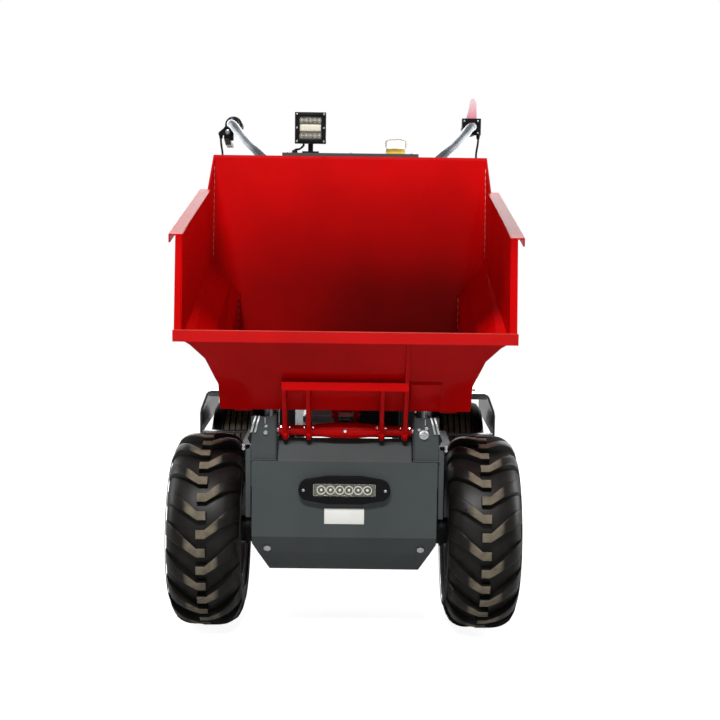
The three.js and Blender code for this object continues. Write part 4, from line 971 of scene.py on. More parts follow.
@dataclass
class ChevronWheel(Wheel):
    """A front wheel: deep bars in a chevron that meet the ground on their middles."""

    bars: int = 17
    phase: float = 0.33  # share of a pitch that the first bar is turned by
    bar_high: float = 14.0  # a bar's height before it is bent round the tyre
    bar_root: float = 5.0  # how far a bar reaches into the tyre
    bar_edge: float = 2.2
    crown: tuple[tuple[float, float], ...] = (
        (0, 203), (26, 202.6), (40, 200.4), (52, 196), (62, 188), (69, 177), (73, 164), (75, 158),
    )
    hull: tuple[tuple[float, float], ...] = (
        (0, 188.5), (20, 188), (42, 185), (57, 179), (67, 170), (73, 157), (75, 148),
    )
    outline: tuple[tuple[float, float], ...] = (
        (-10, 0), (8, 0), (74, 42), (74, 79), (8, 19), (-10, 19),
    )

    def carcass(self) -> list[tuple[float, float]]:
        """Gives the tyre's section between the bars."""
        rising = [(r, x) for x, r in self.hull[1:-1]]
        return [(self.hull[0][1], 0.0), *rising, (142, 75), (122, 71.5), (self.bead + 0.5, 63)]

    def tread(self, shape: Shape) -> None:
        """Adds the bars of both sides, half a pitch apart.

        Args:
            shape: The tyre's shape.
        """
        pitch = math.tau / self.bars
        for hand, offset in ((1, self.phase), (-1, self.phase + 0.5)):
            first = self.bar(shape, hand, offset * pitch)
            for i in range(1, self.bars):
                geometry = first + list({f for v in first for f in v.link_faces})
                copy = bmesh.ops.duplicate(shape.bm, geom=geometry)["geom"]
                verts = [g for g in copy if isinstance(g, bmesh.types.BMVert)]
                turn = Matrix.Rotation(pitch * i, 3, "X")
                bmesh.ops.rotate(shape.bm, verts=verts, cent=self.centre, matrix=turn)

    def bar(self, shape: Shape, hand: int, start: float) -> list[bmesh.types.BMVert]:
        """Adds one bar, bent round the tyre.

        Args:
            shape: The tyre's shape.
            hand: 1 or -1, the side of the tyre it runs out to.
            start: Its angle round the tyre.

        Returns:
            The bar's vertices.
        """
        corners = [(hand * x, s, -self.bar_root) for x, s in self.outline]
        verts = shape.panel(corners, (0, 0, self.bar_high + self.bar_root))
        top = {e for v in verts if v.co.z > 0 for e in v.link_edges if e.other_vert(v).co.z > 0}
        bevel = bmesh.ops.bevel(
            shape.bm, geom=list(top), offset=self.bar_edge, offset_type="OFFSET", affect="EDGES",
            segments=2, profile=0.5, material=-1, clamp_overlap=True,
        )
        verts = list({v for v in verts + bevel["verts"] if v.is_valid})
        for axis, places in ((0, range(-2, 74, 8)), (1, range(6, 78, 9))):
            for place in places:
                verts = self.slice(shape, verts, axis, place * (hand if axis == 0 else 1))
        for v in verts:
            v.co = self.bend(v.co, start)
        faces = list({f for v in verts for f in v.link_faces})
        bmesh.ops.recalc_face_normals(shape.bm, faces=faces)
        return shape.mark(verts)

    @staticmethod
    def slice(
        shape: Shape, verts: list[bmesh.types.BMVert], axis: int, place: float
    ) -> list[bmesh.types.BMVert]:
        """Cuts new edges through a part where a plane meets it.

        Args:
            shape: The shape that holds the part.
            verts: The part's vertices.
            axis: The plane's axis.
            place: Its place on that axis.

        Returns:
            The part's vertices with the new ones.
        """
        point, normal = [0.0] * 3, [0.0] * 3
        point[axis], normal[axis] = place, 1.0
        edges = {e for v in verts for e in v.link_edges}
        faces = {f for v in verts for f in v.link_faces}
        made = bmesh.ops.bisect_plane(
            shape.bm, geom=[*verts, *edges, *faces], plane_co=point, plane_no=normal
        )["geom_cut"]
        new = [g for g in made if isinstance(g, bmesh.types.BMVert)]
        return list({*verts, *new})

    def bend(self, flat: Vector, start: float) -> Vector:
        """Bends a point of a flat bar round the tyre.

        Args:
            flat: Its place across, along and above the tyre laid flat.
            start: The bar's angle round the tyre.

        Returns:
            The point on the tyre.
        """
        low = read_profile(self.hull, abs(flat.x))
        top = read_profile(self.crown, abs(flat.x))
        radius = low + (top - low) * flat.z / self.bar_high if flat.z > 0 else low + flat.z
        angle = start + flat.y / self.radius
        return self.centre + Vector((flat.x, -radius * math.cos(angle), radius * math.sin(angle)))


@dataclass
class RibbedWheel(Wheel):
    """A rear wheel: plain ribs round the tyre."""

    ribs: int = 7
    rib: float = 11.0
    groove: float = 4.0
    groove_depth: float = 7.0

    def carcass(self) -> list[tuple[float, float]]:
        """Gives half the section, with its grooves.

        Returns:
            Pairs of radius and place across.
        """
        made = [(self.radius, 0.0)]
        edge = self.rib / 2
        while edge < self.ribs * (self.rib + self.groove) / 2 - self.groove:
            drop = 0.0009 * edge * edge
            top, low = self.radius - drop, self.radius - drop - self.groove_depth
            far = edge + self.groove
            made += [(top, edge), (low, edge + 0.6), (low, far - 0.6), (top, far)]
            edge = far + self.rib
        half = self.half_width
        shoulder = [(self.radius - 8, half - 14), (self.radius - 22, half - 4)]
        shoulder.append((self.radius - 45, half - 0.5))
        return [*made, *shoulder, (self.bead + 28, half - 4), (self.bead + 0.5, half - 13)]


# ------------------------------------------------------------------ skip and ram


@dataclass
class Skip:
    """The red tub's welds with their painted glints, the painted highlight along its lip, hinge sleeve and
    the plate lapped over its ramp.
    """

    floor_z: float = 482.0
    top_z: float = 997.0
    back_y: float = 425.0
    back_lean: float = 75 / 515
    wall: float = 4.0
    shoulder_low: float = 674.0
    shoulder_high: float = 752.0
    pivot_y: float = -130.0
    pivot_z: float = 438.0
    ramp_foot_y: float = -150.0
    lug_places: tuple[float, ...] = (69, 116)
    lug_thickness: float = 8.0
    tube_radius: float = 10.0
    beam_top: float = 66.0
    lip_y: float = -290.0
    lip_z: float = 637.0

    def back_at(self, z: float) -> float:
        """Gives the inside of the back wall at a height."""
        return self.back_y - (self.top_z - z) * self.back_lean - self.wall

    def ramp_at(self, z: float) -> float:
        """Gives the outside of the ramp at a height."""
        run, rise = self.ramp_foot_y - self.lip_y, self.lip_z - self.floor_z
        return self.ramp_foot_y - (z - self.floor_z) * run / rise

    def build(self) -> None:
        """Builds the skip's own small parts."""
        wear("skip_tub", RED)
        wear("skip_hinge", RED)
        self.seams()
        self.paint_lip_highlight()
        self.hinge_parts()
        self.ramp_plate()

    def seams(self) -> None:
        """Adds the welds inside the tub's corners, and pale spot welds beside them that paint the seams'
        glints.
        """
        shape = Shape().use(RED)
        for side in SIDES.values():
            top = (side * 317, self.back_at(985), 985)
            high = (side * 316.5, self.back_at(self.shoulder_high), self.shoulder_high)
            low = (side * 256, self.back_at(self.shoulder_low), self.shoulder_low)
            foot = (side * 255.5, self.back_at(490), 490)
            shape.bead(top, high, 3.2, 6.0)
            shape.bead(high, low, 2.6, 6.0)
            shape.bead(low, foot, 3.2, 6.0)
            shape.bead((side * 255, 350, 486), (side * 246, -140, 486), 2.4, 7.0)
        shape.finish("tub_welds", "skip")
        # The pale spot welds paint the glints along the seams.
        glint_welds = Shape().use(WELD_GLINT)
        for side in SIDES.values():
            self.stitches(glint_welds, side)
        glint_welds.finish("spot_weld_glints", "skip")

    def paint_lip_highlight(self) -> None:
        """Adds a thin pale red line along the lip's upper edge, a painted highlight."""
        # The pale red line is a painted highlight, not wear.
        shape = Shape().use(LIP_HIGHLIGHT_RED)
        front, top = self.lip_y - 5.6, self.lip_z + 16.8
        shape.tube([(-322, front, top), (0, front, top), (322, front, top)], 0.8, 8, 1)
        shape.finish("painted_lip_highlight", "skip")

    def stitches(self, shape: Shape, side: int) -> None:
        """Adds the short spot welds beside the two upright seams of one side; their pale metal paints the
        seams' glints.

        Args:
            shape: The shape that gets them.
            side: The sign of X.
        """
        for first, last, x in ((968, 770, 318.2), (668, 560, 256.6)):
            count = 14 if first > 800 else 8
            for i in range(count):
                z = first + (last - first) * i / (count - 1)
                y = self.back_at(z) - 15
                shape.bead((side * x, y, z), (side * x, y, z - 6), 1.7, 3.0)

    def hinge_parts(self) -> None:
        """Adds the sleeve, the lug bosses, their welds and the bolts along the hinge tube."""
        shape = Shape().use(RED)
        pivot = (0, self.pivot_y, self.pivot_z)
        inner = self.lug_places[0] - 0.5
        core = self.tube_radius + 0.2
        sleeve = [(core, -inner), (11.5, -inner), (15.5, -24), (15.5, 24), (11.5, inner), (core, inner)]
        shape.turned([*sleeve, sleeve[0]], pivot, Axis.X, 40)
        for side in SIDES.values():
            for place in self.lug_places:
                x0, x1 = side * (place - 2.5), side * (place + self.lug_thickness + 2.5)
                boss = [(core, x0), (16.5, x0), (16.5, x1), (core, x1)]
                shape.turned([*boss, boss[0]], pivot, Axis.X, 32)
                self.lug_welds(shape, side, place)
        shape.use(BRIGHT)
        front = self.pivot_y - 15.2
        shape.hexagon((0, front, self.pivot_z + 1), (0, -1, 0.05), 6.5, washer=False)
        for side in SIDES.values():
            for place in self.lug_places:
                for x in (place - 5, place + self.lug_thickness + 5):
                    at = (side * x, self.pivot_y - 12.5, self.pivot_z + 7)
                    shape.hexagon(at, (0, -1, 0.6), 4.2, washer=False)
        shape.finish("hinge_sleeve", "skip")

    def lug_welds(self, shape: Shape, side: int, place: float) -> None:
        """Adds the welds that hold one lug to the beam.

        Args:
            shape: The shape that gets them.
            side: The sign of X.
            place: The lug's inner face.
        """
        for x in (place - 1.0, place + self.lug_thickness + 1.0):
            z = self.floor_z + self.beam_top - 15
            shape.bead((side * x, self.ramp_at(z) - 15, z), (side * x, self.ramp_at(z), z), 1.8)

    def ramp_plate(self) -> None:
        """Adds the plate lapped over the ramp beside the hinge on the operator's left."""
        shape = Shape().use(RED)
        low, high = 490.0, 546.0
        face = [(x, self.ramp_at(z) - 0.4, z) for x, z in ((127, low), (188, low), (188, high), (127, high))]
        shape.panel(face, (0, -2.4, -2.2), 0.7)
        y = self.ramp_at(high) - 2.2
        shape.bead((128, y, high + 0.6), (187, y, high + 0.6), 1.4, 4.0)
        beam_z = self.floor_z + self.beam_top
        y = self.ramp_at(beam_z) - 1
        for x in range(-114, 118, 38):
            shape.bead((x, y, beam_z + 1), (x + 20, y, beam_z + 1), 1.6)
        shape.finish("ramp_plate", "skip")


@dataclass
class Ram:
    """The tipping ram's gland and hose unions."""

    foot: tuple[float, float] = (120.0, 197.0)
    head: tuple[float, float] = (20.0, 447.0)
    barrel: float = 25.0
    rod_shown: float = 32.0  # barrel's mouth to the middle of the head eye
    nut_length: float = 15.0
    nut_wall: float = 5.0

    def build(self) -> None:
        """Builds the gland nut and the unions on the barrel."""
        wear("ram_barrel", BLACK)
        wear("ram_rod", CHROME)
        start = Vector((0, *self.foot))
        line = Vector((0, *self.head)) - start
        along = line.normalized()
        shape = Shape().use(ZINC)
        side = along.cross(Vector((1, 0, 0)))
        self.gland_nut(shape, start + along * (line.length - self.rod_shown), along, side)
        for reach in (40, line.length - 66):
            at = start + along * reach + side * (self.barrel - 2)
            shape.rod(at, at + side * 12, 8, sides=6, bevel=0.6)
            shape.rod(at + side * 12, at + side * 20, 6, sides=16, bevel=0.6)
        shape.finish("ram_gland", "ram_barrel")

    def gland_nut(self, shape: Shape, mouth: Vector, along: Vector, side: Vector) -> None:
        """Adds the open six-sided nut round the barrel's mouth, clear of the rod.

        Args:
            shape: The shape that gets it.
            mouth: The middle of the barrel's mouth.
            along: The ram's direction.
            side: A direction square to the ram's.
        """
        foot = mouth - along * self.nut_length
        across = along.cross(side)
        turns = [math.tau * i / 6 for i in range(7)]
        arms = [(side * math.cos(t) + across * math.sin(t)) * (self.barrel + 7) for t in turns]
        for first, last in zip(arms, arms[1:]):
            inwards = -(first + last).normalized() * self.nut_wall
            flat = [foot + first, foot + last, mouth + last, mouth + first]
            shape.panel(flat, inwards, 0.6)


# ------------------------------------------------------------------ chassis


@dataclass
class Chassis:
    """The frame's bolts, brackets and lids."""

    plate_front: float = -158.0
    post_front: float = -152.0
    pivot_y: float = -130.0
    pin_end: float = 151.0  # middle of the machine to the end of the hinge pin
    axles: tuple[tuple[float, float, float], ...] = (  # place along Y, height and half length
        (0, 203, 222), (740, 185, 218),
    )
    deck_top: float = 330.0
    pivot_z: float = 438.0
    sign_half: float = 40.0
    sign_low: float = 252.0
    sign_high: float = 284.0

    def build(self) -> None:
        """Dresses the chassis nodes and builds their small parts."""
        for node in ("chassis_frame", "front_plate", "pivot_post_left", "pivot_post_right",
                     "battery_box", "tool_box", "console_box"):
            wear(node, GREY)
        for side in SIDES:
            wear(f"mudguard_{side}", GUARD_GREY)
        for node in ("front_axle", "rear_axle", "drive_case", "oil_reservoir"):
            wear(node, BLACK)
        wear("hinge_pin", ZINC)
        self.plate_fixings()
        self.sign()
        for side in SIDES:
            self.post(side)
            self.guard(side)
        self.box("battery_box", 1)
        self.box("tool_box", -1)
        self.frame_welds()
        self.axle_parts()

    def plate_fixings(self) -> None:
        """Adds the bolts of the front plate."""
        shape = Shape().use(BRIGHT)
        out = Vector((0, -0.845, -0.534))
        for x in (-155, 155):
            shape.hexagon(Vector((x, self.plate_front + 14.4, 200.5)), out, 14, washer=False)
        shape.finish("front_plate_bolts", "chassis")

    def sign(self) -> None:
        """Adds the blank sign under the light bar."""
        shape = Shape().use(WHITE_SIGN)
        y = self.plate_front - 0.3
        shape.block((-self.sign_half, y - 1.2, self.sign_low), (self.sign_half, y, self.sign_high), 0.5)
        shape.finish("blank_sign", "chassis")

    def post(self, side: str) -> None:
        """Adds two pale strips painted as highlights on the post's outer edge, a black patch painted as
        shade beside them, the flange, the keeper and the bolts of one pivot post.

        Args:
            side: Which side it is on.
        """
        s = SIDES[side]
        front = self.post_front
        shape = Shape().use(BRIGHT)
        # Two pale polished strips painted as highlights on the post's outer edge.
        for inset in (0.0, 7.5):
            rib = ((177, 470), (181, 470), (190, 436), (185.5, 436))
            shape.panel([(s * (x - inset), front - 1, z) for x, z in rib], (0, -2.5, 0), 0.6)
        # A thin black patch painted as the shade beside the strips.
        shape.use(BLACK)
        shade_patch = ((186, 437), (189, 437), (195, 424), (188.5, 411))
        shape.panel([(s * x, front - 0.5, z) for x, z in shade_patch], (0, -1.5, 0), 0.3)
        shape.use(GREY)
        strip = ((188.5, 404), (199, 400), (199, 262), (188.5, 262))
        shape.panel([(s * x, front + 4, z) for x, z in strip], (0, -3, 0), 0.8)
        web = ((front + 4, 404), (front + 4, 262), (front + 64, 262), (front + 64, 404))
        shape.panel([(s * 188.5, y, z) for y, z in web], (s * 3, 0, 0), 0.8)
        self.post_bolts(shape, s)
        shape.use(ZINC)
        nut = [(s * x, self.pivot_y, self.pivot_z) for x in (self.pin_end, self.pin_end + 6)]
        shape.rod(*nut, 12, sides=6, bevel=0.8)
        for y in (-132, -84):
            shape.hexagon((s * 166, y, 331.5), (0, 0, 1), 11)
        shape.finish(f"pivot_fittings_{side}", "chassis")

    def post_bolts(self, shape: Shape, s: int) -> None:
        """Adds the bolts on one post's face, larger ones on the operator's left.

        Args:
            shape: The shape that gets them.
            s: The sign of X.
        """
        front = self.post_front
        shape.use(BRIGHT)
        for dz in (0, 7):
            shape.hexagon((s * 203, front + 4, 402 + dz), (0, -1, 0), 6, washer=False)
        if s > 0:
            shape.hexagon((158, front, self.pivot_z - 3), (0, -1, 0), 12)
            shape.hexagon((163, front, self.pivot_z + 10), (0, -1, 0), 7, washer=False)
            shape.hexagon((148, front, self.pivot_z + 7), (0, -1, 0), 6, washer=False)
        else:
            shape.hexagon((-159, front, self.pivot_z - 2), (0, -1, 0), 8, washer=False)
            shape.hexagon((-158, front, self.pivot_z + 11), (0, -1, 0), 6, washer=False)
        low, high = self.pivot_z + 16, self.pivot_z + 28
        shape.rod((s * 160, front - 1, low), (s * 160, front - 1, high), 1.6, sides=12)
        shape.use(GREY)
        shape.bead((s * 139, front - 1, 381), (s * 139, front - 1, 468), 1.3, 5.0)
        shape.bead((s * 139, front - 4, 381), (s * 187, front - 4, 381), 1.6, 5.0)

    def guard(self, side: str) -> None:
        """Adds the bolts and the rolled edge of one wheel guard.

        Args:
            side: Which side it is on.
        """
        s = SIDES[side]
        shape = Shape().use(GREY)
        profile = ((184, 334), (184, 420), (345, 420), (363, 372), (363, 317))
        for y in (520, 945):
            shape.tube([(s * x, y, z) for x, z in corner_points(profile, 6)], 2.3, 10, 1)
        shape.tube([(s * 362, 520, 317), (s * 362, 700, 317), (s * 362, 945, 317)], 2.3, 10, 1)
        shape.use(ZINC)
        for y in range(560, 940, 90):
            shape.hexagon((s * 190, y, self.deck_top + 3.5), (0, 0, 1), 9)
        for y in (600, 860):
            shape.button((s * 210, y, 420), (0, 0, 1), 9)
            shape.button((s * 318, y, 420), (0, 0, 1), 9)
        shape.finish(f"guard_edge_{side}", "chassis")

    def box(self, node: str, s: int) -> None:
        """Adds the lid, latch and hinges of a side box.

        Args:
            node: The box's node.
            s: The sign of X.
        """
        low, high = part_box(node)
        y0, y1 = low[1] / MM - AXLE_SHIFT, high[1] / MM - AXLE_SHIFT
        face = (high[0] if s > 0 else -low[0]) / MM
        z0, z1 = low[2] / MM, high[2] / MM
        shape = Shape().use(GREY)
        outer = sorted((s * (face + 0.3), s * (face + 2.6)))
        shape.block((outer[0], y0 + 8, z0 + 18), (outer[1], y1 - 8, z1 - 6), 1.2)
        shape.use(BLACK)
        grip = sorted((s * (face + 2.6), s * (face + 7)))
        middle = (y0 + y1) / 2
        shape.block((grip[0], middle - 22, z1 - 34), (grip[1], middle + 22, z1 - 20), 1.8)
        shape.use(ZINC)
        for y in (y0 + 16, y1 - 16):
            for z in (z0 + 26, z1 - 14):
                shape.button((s * (face + 2.6), y, z), (s, 0, 0), 7)
            inwards = 30 if y < middle else -30
            shape.rod((s * (face + 4), y + 8, z0 + 18), (s * (face + 4), y + inwards, z0 + 18), 3, sides=14)
        shape.finish(f"{node}_door", "chassis")

    def frame_welds(self) -> None:
        """Adds the welds where posts and cross members meet the rails."""
        shape = Shape().use(GREY)
        for s in SIDES.values():
            shape.bead((s * 139, -60, 331), (s * 186, -60, 331), 2.0)
            shape.bead((s * 161, -140, 326), (s * 161, -62, 326), 2.0)
            for y in (325, 355):
                shape.bead((s * 123, y, 326.5), (s * 157, y, 326.5), 2.0)
            for y in (-120, 170, 212, 368, 412, 852):
                shape.bead((s * 119, y, 256), (s * 119, y, 314), 1.8)
        shape.finish("frame_welds", "chassis")

    def axle_parts(self) -> None:
        """Adds the cover bolts and flanges on the axles."""
        shape = Shape().use(BLACK)
        for y, z, half in self.axles:
            shape.turned([(29, -4), (50, -4), (50, 4), (29, 4), (29, -4)], (0, y, z), Axis.X, 40)
            for s in SIDES.values():
                ring = [(28.4, half - 22), (33, half - 22), (33, half - 14), (28.4, half - 14)]
                shape.turned([(r, s * x) for r, x in (*ring, ring[0])], (0, y, z), Axis.X, 32)
        shape.use(ZINC)
        for y, z, _ in self.axles:
            for s in SIDES.values():
                for angle in range(0, 360, 45):
                    turn = math.radians(angle + 22)
                    at = (s * 4, y + math.cos(turn) * 46, z + math.sin(turn) * 46)
                    shape.hexagon(at, (s, 0, 0), 6, washer=False)
                for dy in (-17, 17):
                    shape.hexagon((s * 140, y + dy, z - 0.2), (0, 0, -1), 10, washer=False)
        shape.finish("axle_bolts", "chassis")


def corner_points(profile: Sequence[Point], cut: float) -> list[tuple[float, float]]:
    """Cuts the corners of a line so that a rod can follow it.

    Args:
        profile: The line's corners.
        cut: How far before and after a corner the cut is.

    Returns:
        The points of the line with its corners cut.
    """
    made = [tuple(profile[0])]
    for before, at, after in zip(profile, profile[1:], profile[2:]):
        corner = Vector(at)
        made.append(tuple(corner + (Vector(before) - corner).normalized() * cut))
        made.append(tuple(corner + (Vector(after) - corner).normalized() * cut))
    return [*made, tuple(profile[-1])]


# ------------------------------------------------------------------ engine


@dataclass
class Engine:
    """The small petrol engine's covers, cap, grilles and fixings."""

    starter_y: float = 895.3
    starter_z: float = 425.3
    tank_half: float = 120.0
    tank_y: tuple[float, float] = (652.0, 832.0)
    tank_z: tuple[float, float] = (612.6, 704.6)
    cap: tuple[float, float, float] = (-50.0, 760.0, 732.6)

    def build(self) -> None:
        """Dresses the engine's nodes and builds their small parts."""
        wear("engine_block", CAST)
        wear("fuel_tank", TANK_RED)
        wear("recoil_starter", ABS)
        wear("muffler", ZINC)
        wear("air_filter", ABS)
        self.starter()
        self.tank()
        self.muffler()
        self.filter()
        self.block()

    def starter(self) -> None:
        """Adds the boss, the ribs, the pull handle and the screws of the recoil starter."""
        shape = Shape().use(BLACK)
        y, z = self.starter_y, self.starter_z
        middle = Vector((0, y, z))
        boss = [(0, -1), (22, -1), (22, 3), (17, 6), (0, 6.5)]
        shape.turned(boss, middle, Axis.Y, 40)
        for i in range(16):
            turn = math.tau * i / 16
            spoke = Vector((math.cos(turn), 0, math.sin(turn)))
            shape.rod(middle + spoke * 26, middle + spoke * 55, 2.6, sides=10, bevel=0.5)
        for r in (58, 60.5):
            ring = [(r - 1.5, -1), (r + 1.5, -1), (r + 1.5, 2), (r - 1.5, 2), (r - 1.5, -1)]
            shape.turned(ring, middle, Axis.Y, 64)
        handle = Vector((-58, y - 18, z + 52))
        shape.rod(handle, handle + Vector((0, 15, 0)), 6, 4, sides=16, bevel=1.0)
        shape.rod(handle + Vector((-18, 19, 0)), handle + Vector((18, 19, 0)), 5, sides=16, bevel=2.0)
        shape.use(ZINC)
        for angle in (45, 135, 225, 315):
            turn = math.radians(angle)
            shape.hexagon((math.cos(turn) * 70, y - 25, z + math.sin(turn) * 70), (0, 1, 0), 7)
        shape.finish("starter_cover", "chassis")

    def tank(self) -> None:
        """Adds the tank's seam and its ribbed cap."""
        shape = Shape().use(TANK_RED)
        y0, y1 = self.tank_y
        seam = self.tank_z[0] + 34
        r, half = 27, self.tank_half + 2.5
        outline = [
            (sx * (half - r) + r * math.cos(t), sy + r * math.sin(t), seam)
            for sx, sy, t in self.corner_turns(y0 - 2.5 + r, y1 + 2.5 - r)
        ]
        shape.panel(outline, (0, 0, 2.4), 0.8)
        shape.use(ABS)
        x, cy, top = self.cap
        for i in range(24):
            turn = math.tau * i / 24
            at = Vector((x + 30 * math.cos(turn), cy + 30 * math.sin(turn), top - 15))
            shape.rod(at, at + Vector((0, 0, 13)), 1.6, sides=8)
        shape.turned([(0, -0.2), (25, -0.2), (23, 2.2), (0, 2.6)], self.cap, Axis.Z, 40)
        shape.finish("tank_fittings", "chassis")

    @staticmethod
    def corner_turns(low: float, high: float) -> list[tuple[int, float, float]]:
        """Gives the steps round the four corners of a rounded outline.

        Args:
            low: The Y of the front corners' centres.
            high: The Y of the back corners' centres.

        Returns:
            Each step's side, centre and angle.
        """
        corners = ((1, low, -90), (1, high, 0), (-1, high, 90), (-1, low, 180))
        return [
            (side, y, math.radians(start + 15 * i)) for side, y, start in corners for i in range(7)
        ]

    def muffler(self) -> None:
        """Adds the guard over the muffler."""
        shape = Shape().use(ZINC)
        for i in range(11):
            y = 686 + 11.4 * i
            shape.block((-156, y, 520), (-152, y + 6, 596), 0.9)
        for z in (518, 594):
            shape.block((-157, 680, z), (-151, 808, z + 6), 0.9)
        for y in (692, 794):
            for z in (521, 597):
                shape.button((-157, y, z), (-1, 0, 0), 6)
        shape.finish("muffler_guard", "chassis")

    def filter(self) -> None:
        """Adds the ribs and the wing nut of the air filter's cover."""
        shape = Shape().use(ABS)
        for i in range(7):
            z = 526 + 12 * i
            shape.block((156, 690, z), (159.2, 796, z + 5), 1.2)
        shape.block((61, 679, 584), (159, 808, 588), 1.4)
        shape.use(ZINC)
        shape.rod((159, 743, 558), (164, 743, 558), 7, sides=20, bevel=0.8)
        for dz in (-9, 9):
            shape.rod((162, 743, 558 + dz * 0.5), (170, 743, 558 + dz * 1.5), 3.4, sides=12, bevel=1.0)
        shape.finish("filter_cover", "chassis")

    def block(self) -> None:
        """Adds the plug and its lead, the dipstick, the drain and the bolts round them."""
        shape = Shape().use(ABS)
        shape.rod((0, 640, 560), (0, 618, 566), 7.5, 8.5, sides=18, bevel=1.2)
        shape.rod((0, 620, 566), (0, 620, 596), 8.0, 6.5, sides=18, bevel=1.2)
        shape.tube([(0, 620, 594), (-8, 622, 604), (-40, 634, 606), (-62, 652, 590)], 3.4, 12)
        shape.use(YELLOW)
        shape.rod((70, 838, 372), (70, 858, 380), 9, 8, sides=18, bevel=1.4)
        shape.use(ZINC)
        for x in (-105, 105):
            for y in (655, 835):
                shape.hexagon((x, y, 338), (0, 0, 1), 12)
        for x in (-48, 48):
            for z in (520, 596):
                shape.hexagon((x, 651, z), (0, -1, 0), 9, washer=False)
        shape.rod((40, 838, 350), (40, 852, 350), 7, sides=6, bevel=0.6)
        for y in (474, 542):
            shape.hexagon((85, y, 520.2), (0, 0, 1), 9)
        shape.finish("engine_fittings", "chassis")


# ------------------------------------------------------------------ console and handlebars


@dataclass
class Handlebars:
    """The two bent tubes, their foot plates and their grips."""

    radius: float = 12.0
    line: tuple[tuple[float, float, float], ...] = (
        (180, 479, 332.3), (180, 479, 560), (180, 479, 760), (181, 481.5, 880), (190, 502, 963),
        (222, 552, 1000), (258, 650, 1029), (288, 750, 1058), (308, 815, 1080), (318, 848, 1087),
        (318, 890, 1087), (318, 940, 1087), (318, 1032, 1087),
    )
    grip_front: float = 910.0
    grip_back: float = 1040.0
    grip_z: float = 1087.0
    grip_x: float = 318.0
    grip_radius: float = 17.0

    def build(self) -> None:
        """Builds both sides."""
        for side in SIDES:
            self.tube(side)
            self.grip(side)

    def tube(self, side: str) -> None:
        """Builds one tube in place of its CAD node, with the bolts of its foot.

        Args:
            side: Which side it is on.
        """
        s = SIDES[side]
        shape = Shape().use(GALVANISED)
        shape.tube([(s * x, y, z) for x, y, z in self.line], self.radius, 24, 8)
        x, y, z = self.line[0]
        low, high = sorted((s * (x - 18), s * (x + 17)))
        shape.block((low, y - 20, z - 2), (high, y + 24, z + 4), 0.8)
        for dx, dy in ((-12, -13), (-12, 17), (12, -13), (12, 17)):
            shape.hexagon((s * (x + dx), y + dy, z + 4), (0, 0, 1), 7)
        shape.bead((s * (x + 10), y + 9, z + 5), (s * (x - 10), y + 9, z + 5), 1.6)
        made = shape.finish(f"handlebar_tube_{side}", "chassis", 50)
        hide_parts(f"handlebar_{side}")

    def grip(self, side: str) -> None:
        """Builds one grip's ribs and end flange in place of its CAD node.

        Args:
            side: Which side it is on.
        """
        s = SIDES[side]
        centre = (s * self.grip_x, 0, self.grip_z)
        r, front, back = self.grip_radius, self.grip_front, self.grip_back
        core = self.radius + 0.3
        profile = [(core, front), (23, front), (23, front + 6), (r, front + 7.5)]
        y = front + 12
        while y < back - 12:
            profile += [(r, y), (r - 1.6, y + 1), (r - 1.6, y + 3), (r, y + 4)]
            y += 7.0
        profile += [(r, back - 5), (r - 4, back - 0.6), (core, back), (core, front)]
        shape = Shape().use(SOFT_RUBBER)
        shape.turned(profile, centre, Axis.Y, 40)
        end = [(0, back - 7), (core, back - 7), (core, back - 1), (8, back + 0.4), (0, back + 0.6)]
        shape.turned(end, centre, Axis.Y, 32)
        made = shape.finish(f"grip_sleeve_{side}", "chassis", 30)
        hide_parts(f"grip_{side}")


